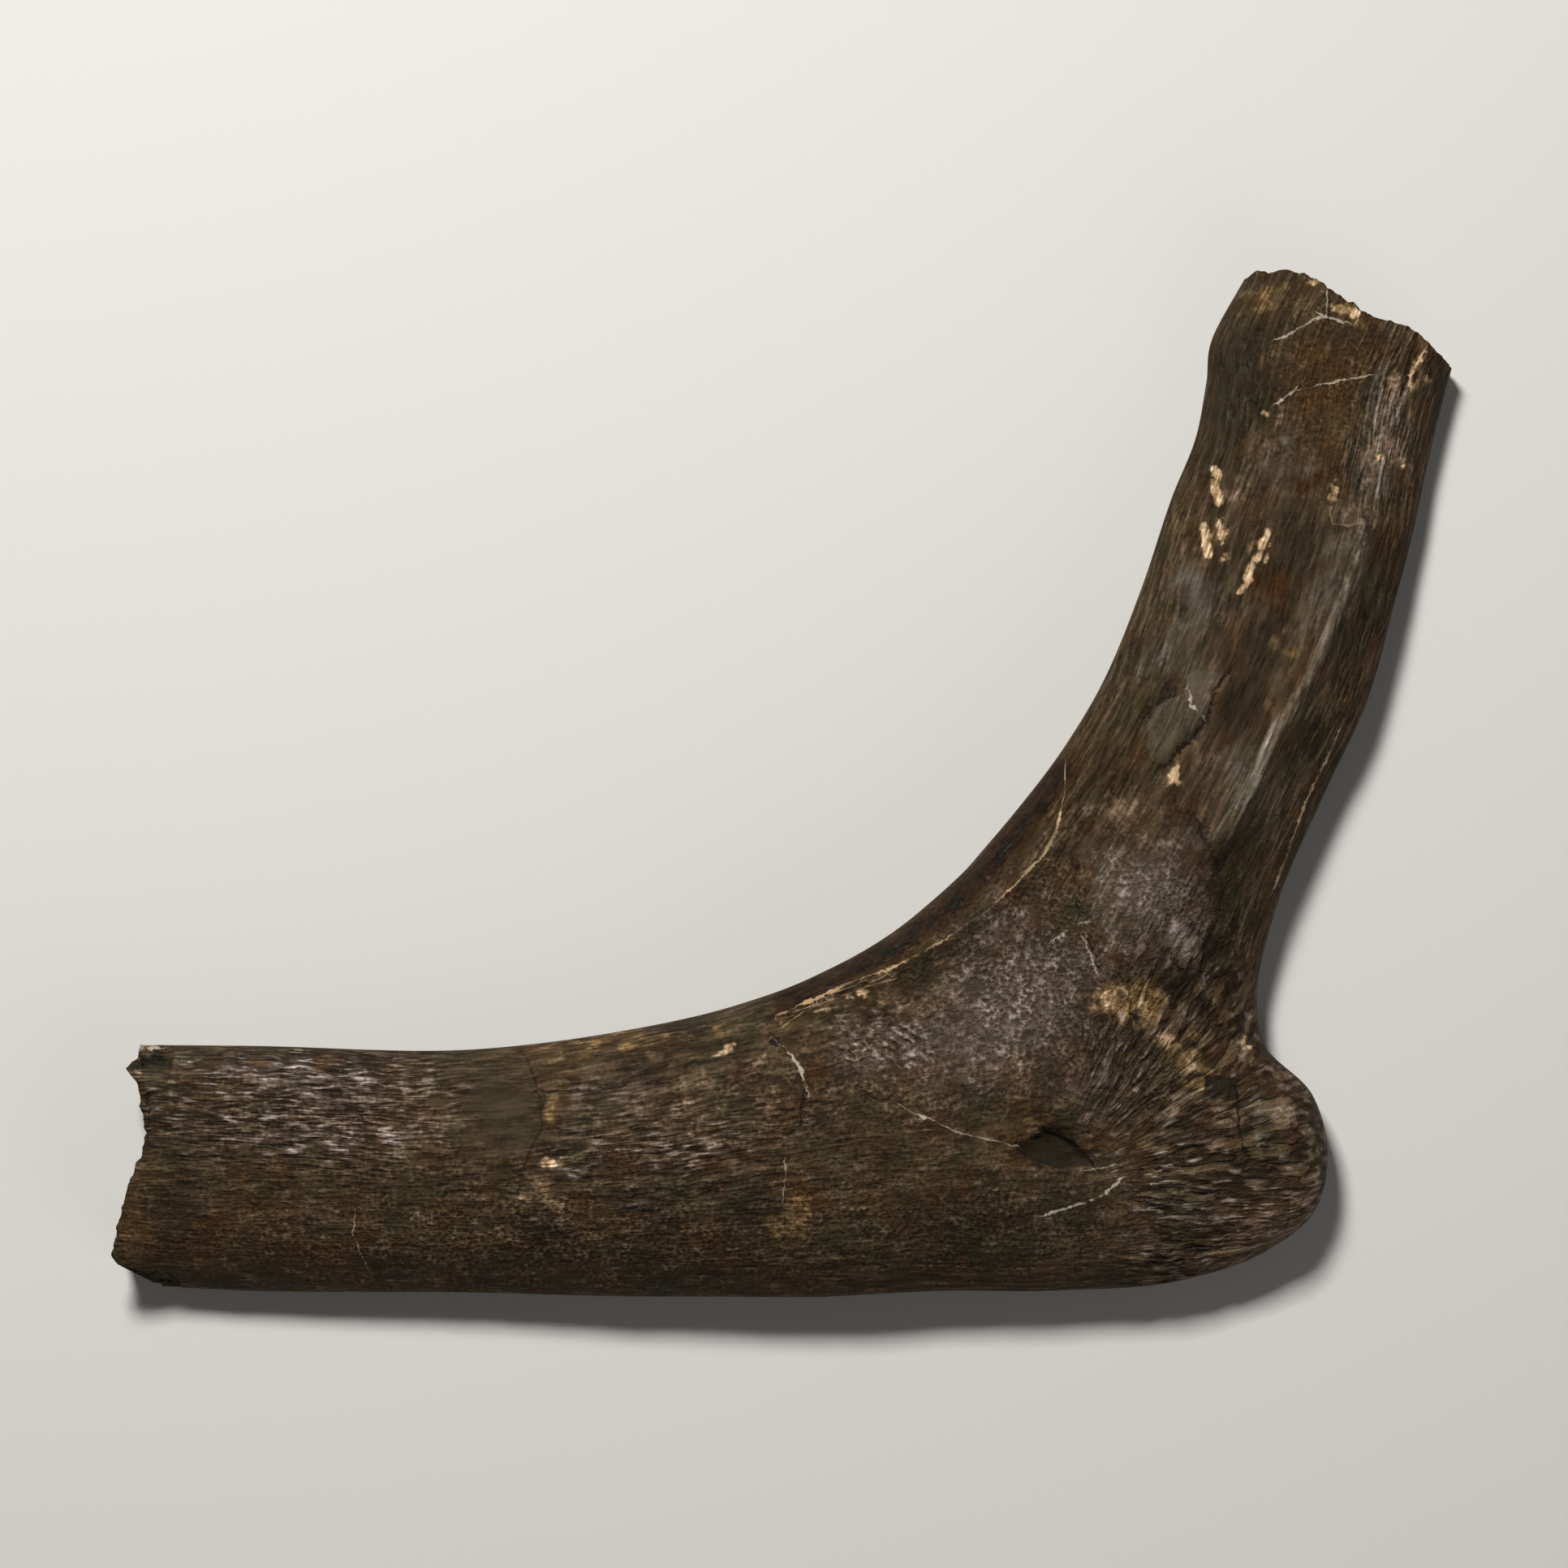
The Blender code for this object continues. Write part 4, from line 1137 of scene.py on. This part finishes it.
# The stains from the lowest to the highest, some partly painted shade and some partly painted highlight:
# the pattern that makes its border ragged, by how much, and where the border starts and is full
STAIN_LAYERS = {
    "amber": ("blotches", 0.5, 0.1, 1.1),
    "umber": ("blotches", 0.35, 0, 1.2),
    "skin": ("blotches", 0.5, 0, 1),
    "grey": ("blotches", 0.5, 0.1, 1.1),
    "rust": ("blotches", 1.1, 0.1, 1.2),
    "tan": ("blotches", 0.8, 0.1, 1.1),
    "ochre": ("blotches", 1.2, 0.15, 1.1),
    "dark": ("blotches", 0.6, 0.3, 0.9),
    "core": ("blotches", 0.5, 0.3, 0.8),
    "putty": ("streaks", 0.3, 0.1, 0.9),
    "worn": ("long_fibres", 1.1, 0.2, 1.2),
    "cream": ("blotches", 2.1, 0.3, 1),
}
PATCH_BORDER = 0.15

# Lines, dark where a break stands open and pale where mineral or glue fills it: the colour, the pattern
# that breaks the line up, its values where the line is faintest and where it is full, and how faint it is.
# Each line wanders and thins out by patterns too, and its core ends in a soft border.
LINES = {
    "edge": ("cream", "hues", 0.1, 0.7, 0.3),
    "seam": ("mineral", "blotches", 0.1, 0.6, 0.25),
    "crack": ("dark", "blotches", 0.9, 0.4, 0.35),
}
LINE_WANDER, LINE_THINNING = 1.2, 1.4
LINE_CORE, LINE_BORDER = 0.2, 1.1

# Grooves between the long fibres: their width as a share of the pattern, and how they show away from it
GROOVE_WIDTH = 0.18
FAN_GROOVES, LEAST_GROOVES = 0.75, 0.2

# What calms the fine patterns besides the filler: smooth skin and what lies inside a clear border
POLISHED_CALM, PATCH_CALM = 0.6, 0.5

# The tops of the relief, lighter partly from wear and partly as painted highlight, and its valleys, darker
# partly from dirt and partly as painted shade, by the height that the relief adds
TOP_HEIGHT, VALLEY_START, VALLEY_FULL = 0.7, -0.1, -0.7
TOP_STRENGTH, GLINTING_TOPS, VALLEY_STRENGTH = 0.25, 0.7, 0.6
TOP_FIBRES = (0.2, 0.8, 0.1, 1)

# The shade of what is too fine to model: how much lighter the lightest is than the darkest, for red, green
# and blue, which leaves the darks warmer and the lights whiter, and what each pattern adds to it
SHADE_BASES = (4.5, 5.3, 7.5)
SPECK_SHADE, MIDDLE_SHADE, GROOVE_SHADE = 0.5, 0.75, 0.55
COARSE_CONTRAST, BLOTCH_MIDDLE, LEAST_CONTRAST = 0.7, 0.03, 0.1
STREAK_SHADE, GRAIN_STREAK_SHADE, POLISHED_GRAIN = 0.4, 0.15, 0.3
DARK_GAIN = 1.5

# Painted glints, small highlights mixed into the colour: those of the rough bone and of its glinting
# places, how closely they stand on grain, and where they start and are full in the fibres and in the
# blotches that they cluster in
ROUGH_GLINTS, GLINTING, GRAIN_GLINTS = 0.15, 0.9, 0.45
GLINT_FIBRES, GLINT_CLUSTERS = (0.65, 1), (0.4, 0.8)

# Relief too fine for the mesh, in millimetres
FINE_HEIGHTS = {
    "fibres": 0.12,
    "coarse_fibres": 0.3,
    "fan_fibres": 0.2,
    "long_fibres": 0.08,
    "grooves": -0.25,
    "specks": 0.06,
    "grain_specks": 0.18,
    "bumps": 0.02,
    "rough_bumps": 0.08,
    "crack": -0.3,
    "seam": 0.05,
}

# The roughness of dull and of bright bone, how bright rough and smooth bone are, and what stains add
DULL, BRIGHT = 0.85, 0.36
ROUGH_SHEEN, POLISHED_SHEEN = 0.3, 0.5
SHEEN_FIBRES = (0, 0.4, 0.3, 1)
DULLER = {"umber": 0.2, "rust": 0.2, "putty": 0.2, "core": 0.2, "ochre": 0.1}

# The sealed surface: how it bends light, how strongly it shines, and the warm tinge of that shine
REFRACTION, SHINE, SHINE_TINT = 1.5, 0.25, (1, 0.9, 0.75, 1)


def bone_material(colours):
    """Fossil bone: brown, filled with minerals, cleaned with a needle and sealed. That leaves a dull shine,
    brighter on the worn tops of the fibres than in the pits and the filler. Small highlights and lighter
    tops are also painted into its colour, and some shade in its valleys, hollows and margins."""
    material = bpy.data.materials.new("fossil_bone")
    material.use_nodes = True
    tree = material.node_tree
    shader = tree.nodes["Principled BSDF"]

    def attribute(name, output):
        return Signal(add(tree, "ShaderNodeAttribute", attribute_name=name).outputs[output])

    def split(vector):
        return [Signal(part) for part in add(tree, "ShaderNodeSeparateXYZ", {0: vector}).outputs]

    def stepped(value, low, high, start=0, end=1):
        inputs = {"Value": value, "From Min": low, "From Max": high, "To Min": start, "To Max": end}
        return Signal(add(tree, "ShaderNodeMapRange", inputs, interpolation_type="SMOOTHSTEP").outputs[0])

    def mixed(share, below, above, blend="MIX"):
        inputs = {0: share, 6: below, 7: above}
        return add(tree, "ShaderNodeMix", inputs, data_type="RGBA", blend_type=blend).outputs[2]

    frames = {
        "place": (add(tree, "ShaderNodeTexCoord").outputs["Object"], 1 / MM),
        "flow": (attribute("flow", "Vector"), 1),
        "fan": (attribute("fan", "Vector"), 1),
    }
    drawn = {}
    for name, (coordinates, (length, width), detail) in PATTERNS.items():
        vector, scale = frames[coordinates]
        size = (scale / length, scale / width, scale / width)
        sized = add(tree, "ShaderNodeVectorMath", {0: vector, 1: size}, operation="MULTIPLY").outputs[0]
        pattern = add(tree, "ShaderNodeTexNoise", {"Vector": sized, "Scale": 1, "Detail": detail})
        drawn[name] = stepped(pattern.outputs["Fac"], PATTERN_LOW, PATTERN_HIGH)
    masks = {name: attribute(name, "Fac") for name in MASKS}
    specks, blotches = drawn["specks"], drawn["blotches"]

    # The bone's own fibres, the fan's over the tubercle, and grain without any way
    fan = split(frames["fan"][0])[2]
    grain = masks["grain"] * (1 - fan)
    fibres = between(grain, between(fan, drawn["fibres"], drawn["fan_fibres"]), specks)
    drawn["strokes"] = between(grain, between(fan, drawn["streaks"], drawn["fan_streaks"]), blotches)
    long_lines = between(fan, drawn["long_fibres"], drawn["fan_streaks"])
    grooves = stepped(abs(long_lines - 0.5), 0, GROOVE_WIDTH, 1, 0)
    grooves *= most(masks["coarse"], fan * FAN_GROOVES, LEAST_GROOVES)
    rough = most(masks["coarse"], grain, fan)
    offs = split(attribute("patch", "Vector"))
    patches = {name: stepped(off, PATCH_BORDER, -PATCH_BORDER) for name, off in zip(PATCHES, offs)}
    still = [masks["polished"] * POLISHED_CALM, *(share * PATCH_CALM for share in patches.values())]
    calm = 1 - most(masks["putty"], *still)

    # Colour: two browns in clouds, tinges, lighter streaks, the stains, the tops lightened partly by wear
    # and partly as painted highlight, the valleys darkened partly by dirt and partly as painted shade, and
    # the patches
    colour = mixed(drawn["clouds"], colours["dark_brown"], colours["brown"])
    for name, (pattern, low, high, strength) in TINGES.items():
        colour = mixed(stepped(drawn[pattern], low, high, 0, strength), colour, colours[name])
    for name, (pattern, amount, low, high) in STAIN_LAYERS.items():
        ragged = drawn[pattern] * amount + (1 - amount / 2)
        colour = mixed(stepped(ragged * masks[name], low, high), colour, colours[name])
    # Painted highlight and wear on the relief's tops, painted shade and dirt in its valleys
    tops = stepped(masks["rise"], 0, TOP_HEIGHT) * stepped(fibres, *TOP_FIBRES)
    colour = mixed(tops * (masks["glinting"] * GLINTING_TOPS + TOP_STRENGTH), colour, colours["top"])
    valleys = stepped(masks["rise"], VALLEY_START, VALLEY_FULL, 0, VALLEY_STRENGTH)
    colour = mixed(valleys, colour, colours["dark"])
    # The patches: skin, filler, dirt in the window, and dirt with painted shade in two hollows
    for name, share in patches.items():
        colour = mixed(share * PATCHES[name].strength, colour, colours[name])

    # Light and shade of what is too fine to model
    contrast = (masks["coarse"] * COARSE_CONTRAST + (blotches - BLOTCH_MIDDLE)) * calm
    uneven = specks * SPECK_SHADE + fibres - MIDDLE_SHADE
    uneven *= between(contrast, LEAST_CONTRAST, 1)
    plain = most(grain, masks["polished"] * POLISHED_GRAIN)
    uneven += (drawn["strokes"] - 0.5) * between(plain, STREAK_SHADE, GRAIN_STREAK_SHADE)
    uneven -= grooves * calm * GROOVE_SHADE
    uneven = uneven.maths("MINIMUM", uneven, uneven * DARK_GAIN)
    shades = {i: uneven.maths("POWER", base, uneven) for i, base in enumerate(SHADE_BASES)}
    colour = mixed(1, colour, add(tree, "ShaderNodeCombineColor", shades).outputs[0], "MULTIPLY")

    lines = {}
    for name, (stain, pattern, low, high, least) in LINES.items():
        off, near = split(attribute(name, "Vector"))[:2]
        off = abs(off + (specks - 0.5) * LINE_WANDER) - (blotches - 0.5) * LINE_THINNING
        line = stepped(off, LINE_CORE, LINE_BORDER, 1, 0) * near
        lines[name] = line * stepped(drawn[pattern], low, high, least)
        colour = mixed(lines[name], colour, colours[stain])

    # Painted highlight: small light spots mixed into the colour on the fibres' tops
    clusters = between(grain, stepped(blotches, *GLINT_CLUSTERS), GRAIN_GLINTS)
    painted_glints = stepped(fibres, *GLINT_FIBRES) * clusters * calm
    painted_glints *= rough * ROUGH_GLINTS + masks["glinting"] * GLINTING
    colour = mixed(painted_glints, colour, colours["glint"])

    fine = FINE_HEIGHTS
    height = fibres * (masks["coarse"] * fine["coarse_fibres"] + fan * fine["fan_fibres"] + fine["fibres"])
    height += drawn["long_fibres"] * fine["long_fibres"] + grooves * fine["grooves"]
    height += specks * (masks["grain"] * fine["grain_specks"] + fine["specks"])
    height = height * calm + drawn["grain_bumps"] * (rough * fine["rough_bumps"] + fine["bumps"])
    height += lines["crack"] * fine["crack"] + lines["seam"] * fine["seam"]
    bump = add(tree, "ShaderNodeBump", {"Strength": 1, "Distance": MM, "Height": height})

    sheen = most(masks["glinting"], rough * ROUGH_SHEEN, masks["polished"] * POLISHED_SHEEN)
    roughness = between(sheen * stepped(fibres, *SHEEN_FIBRES), DULL, BRIGHT)
    for name, more in DULLER.items():
        roughness += masks[name] * more
    tree.links.new(colour, shader.inputs["Base Color"])
    tree.links.new(roughness.socket, shader.inputs["Roughness"])
    tree.links.new(bump.outputs["Normal"], shader.inputs["Normal"])
    shader.inputs["IOR"].default_value = REFRACTION
    shader.inputs["Specular IOR Level"].default_value = SHINE
    shader.inputs["Specular Tint"].default_value = SHINE_TINT
    return material


def colour_setting(name, description, colour):
    """A colour that a user may change, given as an sRGB hex string."""
    return FloatVectorProperty(
        name=name, description=description, default=linear(colour), size=3, min=0, max=1, subtype="COLOR"
    )


def number_setting(name, description, value, unit="NONE", **limits):
    """A number that a user may change."""
    return FloatProperty(name=name, description=description, default=value, unit=unit, min=0, **limits)


def length_setting(name, description, millimetres):
    """A small height or depth that a user may change."""
    return number_setting(name, description, millimetres * MM, "LENGTH", soft_max=2 * MM, precision=5)


class FossilReliefSettings(PropertyGroup):
    """How deep the relief is worked into the bone."""

    lump: length_setting("Lumps", "Height of the broad swells over the whole bone", 0.25)
    fibre: length_setting("Fibres", "Height of the coarse fibres along the shaft", 0.7)
    ridge: length_setting("Ridges", "Height of the ridges that fan out over the tubercle", 0.6)
    grain: length_setting("Grain", "Height of the grain on the body", 0.15)
    crack: length_setting("Cracks", "Depth of the open breaks", 0.4)


class FossilColourSettings(PropertyGroup):
    """The colours of the bone, its stains and what fills its breaks, and of the painted highlights and
    shade laid over them.
    """

    dark_brown: colour_setting("Dark brown", "The darker of the bone's two browns", "#2a1f11")
    brown: colour_setting("Brown", "The lighter of the bone's two browns", "#46351f")
    light_brown: colour_setting("Light brown", "Streaks along the fibres", "#594833")
    reddish: colour_setting("Reddish", "Reddish tinge in the brown", "#43290f")
    olive: colour_setting("Olive", "Olive tinge in the brown", "#322e1a")
    # Partly the skin's colour and partly painted sheen on the body, the plateau and the shaft's upper side
    grey: colour_setting("Grey", "Mauve-grey skin on the body and the neck", "#6a5c51")
    skin: colour_setting("Skin", "Smooth grey-brown skin on the neck", "#4b4437")
    # Partly stain and partly painted shade on the margins and the neck that turn from the light
    umber: colour_setting("Umber", "Dark, dull skin along the margins and up the neck", "#261e10")
    rust: colour_setting("Rust", "Iron stain along the crook", "#3a200c")
    # Partly skin and partly painted light on the shaft's upper half
    tan: colour_setting("Tan", "Lighter, pinkish skin on the tubercle's rim and in patches", "#745e49")
    ochre: colour_setting("Ochre", "Iron stain by the tubercle and the breaks", "#8c6f48")
    # Dirt in pits and cracks, and painted shade in hollows, beside raised edges and along the margins
    dark: colour_setting("Dark", "Dirt in pits, cracks and hollows", "#140f0a")
    core: colour_setting("Core", "Spongy bone in a broken end", "#372e20")
    putty: colour_setting("Filler", "Grey-olive filler over the glued break", "#3b3122")
    amber: colour_setting("Amber", "Warm, dark skin near the broken ends", "#422b10")
    # Dirt in the window, and dirt with painted shade in the pocket and the slot
    dark_dirt: colour_setting("Packed dirt", "Greenish dirt in the window and the hollows", "#1e1a10")
    # Painted highlight: the colour of the light spots laid on the grain and the fibres
    glint: colour_setting("Glints", "Bright tops of the grain and the fibres", "#c2bab3")
    # Partly wear and partly painted highlight: the colour mixed into the relief's tops
    top: colour_setting("Tops", "Worn tops of the coarse fibres and ridges", "#94877b")
    # Partly wear and partly painted highlight along the ridge and the edges
    worn: colour_setting("Worn", "Smooth, pale skin on worn edges", "#827868")
    cream: colour_setting("Cream", "Bare inner bone where the skin flaked off", "#c4a47e")
    mineral: colour_setting("Mineral", "White mineral and glue in the breaks", "#b3a692")


class FossilStudioSettings(PropertyGroup):
    """The floor, the lights and the lens."""

    floor: colour_setting("Floor", "Plain floor under the fossil", "#d8d5cf")
    key_power: number_setting("Key light", "Power of the soft light from the top", 17.8, "POWER")
    fill_power: number_setting("Fill light", "Power of the broad light from below", 2, "POWER")
    sky: number_setting("Room light", "Strength of the even light from all round", 0.05)
    lens: number_setting("Lens", "Focal length of the camera", 150, "CAMERA")


class FOSSIL_OT_rib(Operator):
    """Build the rib over its solid, with its relief and finish"""

    bl_idname = "fossil.rib"
    bl_label = "Rib"

    def execute(self, context):
        given, names = context.scene.fossil_relief, FossilReliefSettings.__annotations__
        relief = namedtuple("Relief", names)(*(getattr(given, name) / MM for name in names))
        given, names = context.scene.fossil_colours, FossilColourSettings.__annotations__
        rib = bpy.data.objects.new("fossil_rib", bone_mesh(relief))
        rib.data.materials.append(bone_material({name: (*getattr(given, name), 1) for name in names}))
        context.scene.collection.objects.link(rib)
        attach(rib, "root")
        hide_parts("rib")
        return {"FINISHED"}


# The picture's width in metres on the level of the bone's widest outline, where its scale was taken
PICTURE_WIDTH = 0.32844
OUTLINE_LEVEL = 0.012
SENSOR_WIDTH = 36

# How far the floor reaches, and its level: a hair under the bone, so that the two don't share a plane
FLOOR_REACH = 3
FLOOR_LEVEL = -0.0001
PAPER_ROUGHNESS = 0.9

# Each light: the way from the bone to it, how far off it stands and its size
Lamp = namedtuple("Lamp", "name way distance size")
KEY = Lamp("key_light", (-0.22, 0.52, 0.82), 1.25, 0.25)
FILL = Lamp("fill_light", (0.6, -0.62, 0.5), 1.3, 0.8)


def lamp(given, power, collection):
    """A square area light that faces the bone."""
    light = bpy.data.lights.new(given.name, "AREA")
    light.energy = power
    light.size = given.size
    obj = bpy.data.objects.new(given.name, light)
    obj.location = Vector(given.way).normalized() * given.distance
    obj.rotation_euler = (-obj.location).to_track_quat("-Z", "Y").to_euler()
    collection.objects.link(obj)


class FOSSIL_OT_stage(Operator):
    """Lay the plain floor, light it softly and look straight down on the bone"""

    bl_idname = "fossil.stage"
    bl_label = "Stage"

    def execute(self, context):
        settings = context.scene.fossil_studio
        collection = context.scene.collection
        signs = ((-1, -1), (1, -1), (1, 1), (-1, 1))
        corners = [(FLOOR_REACH * x, FLOOR_REACH * y, FLOOR_LEVEL) for x, y in signs]
        mesh = bpy.data.meshes.new("floor")
        mesh.from_pydata(corners, [], [(0, 1, 2, 3)])
        floor = bpy.data.objects.new("floor", mesh)
        paper = bpy.data.materials.new("matt_paper")
        paper.use_nodes = True
        shader = paper.node_tree.nodes["Principled BSDF"]
        shader.inputs["Base Color"].default_value = (*settings.floor, 1)
        shader.inputs["Roughness"].default_value = PAPER_ROUGHNESS
        mesh.materials.append(paper)
        collection.objects.link(floor)

        lamp(KEY, settings.key_power, collection)
        lamp(FILL, settings.fill_power, collection)
        world = bpy.data.worlds.new("room")
        world.use_nodes = True
        background = world.node_tree.nodes["Background"]
        background.inputs["Strength"].default_value = settings.sky
        background.inputs["Color"].default_value = (1, 1, 1, 1)
        context.scene.world = world

        camera = bpy.data.cameras.new("camera")
        camera.lens = settings.lens
        camera.sensor_width = SENSOR_WIDTH
        view = bpy.data.objects.new("camera", camera)
        view.location = (0, 0, OUTLINE_LEVEL + PICTURE_WIDTH * settings.lens / SENSOR_WIDTH)
        collection.objects.link(view)
        context.scene.camera = view
        context.scene.view_settings.view_transform = "Standard"
        return {"FINISHED"}


class FOSSIL_PT_sidebar(Panel):
    """Lists what can be built, and the sizes and colours it is built with"""

    bl_idname = "FOSSIL_PT_sidebar"
    bl_label = "Fossil Rib"
    bl_space_type = "VIEW_3D"
    bl_region_type = "UI"
    bl_category = "Fossil Rib"

    def draw(self, context):
        scene = context.scene
        parts = {
            FOSSIL_OT_rib: (scene.fossil_relief, scene.fossil_colours),
            FOSSIL_OT_stage: (scene.fossil_studio,),
        }
        for operator, groups in parts.items():
            box = self.layout.box()
            box.operator(operator.bl_idname)
            for settings in groups:
                for name in settings.__annotations__:
                    box.prop(settings, name)


SETTINGS = {
    "fossil_relief": FossilReliefSettings,
    "fossil_colours": FossilColourSettings,
    "fossil_studio": FossilStudioSettings,
}
CLASSES = (*SETTINGS.values(), FOSSIL_OT_rib, FOSSIL_OT_stage, FOSSIL_PT_sidebar)


def register():
    for kind in CLASSES:
        bpy.utils.register_class(kind)
    for name, kind in SETTINGS.items():
        setattr(bpy.types.Scene, name, PointerProperty(type=kind))


def unregister():
    for name in SETTINGS:
        delattr(bpy.types.Scene, name)
    for kind in reversed(CLASSES):
        bpy.utils.unregister_class(kind)


def main():
    register()
    bpy.ops.fossil.rib()
    bpy.ops.fossil.stage()


if __name__ == "__main__":
    main()
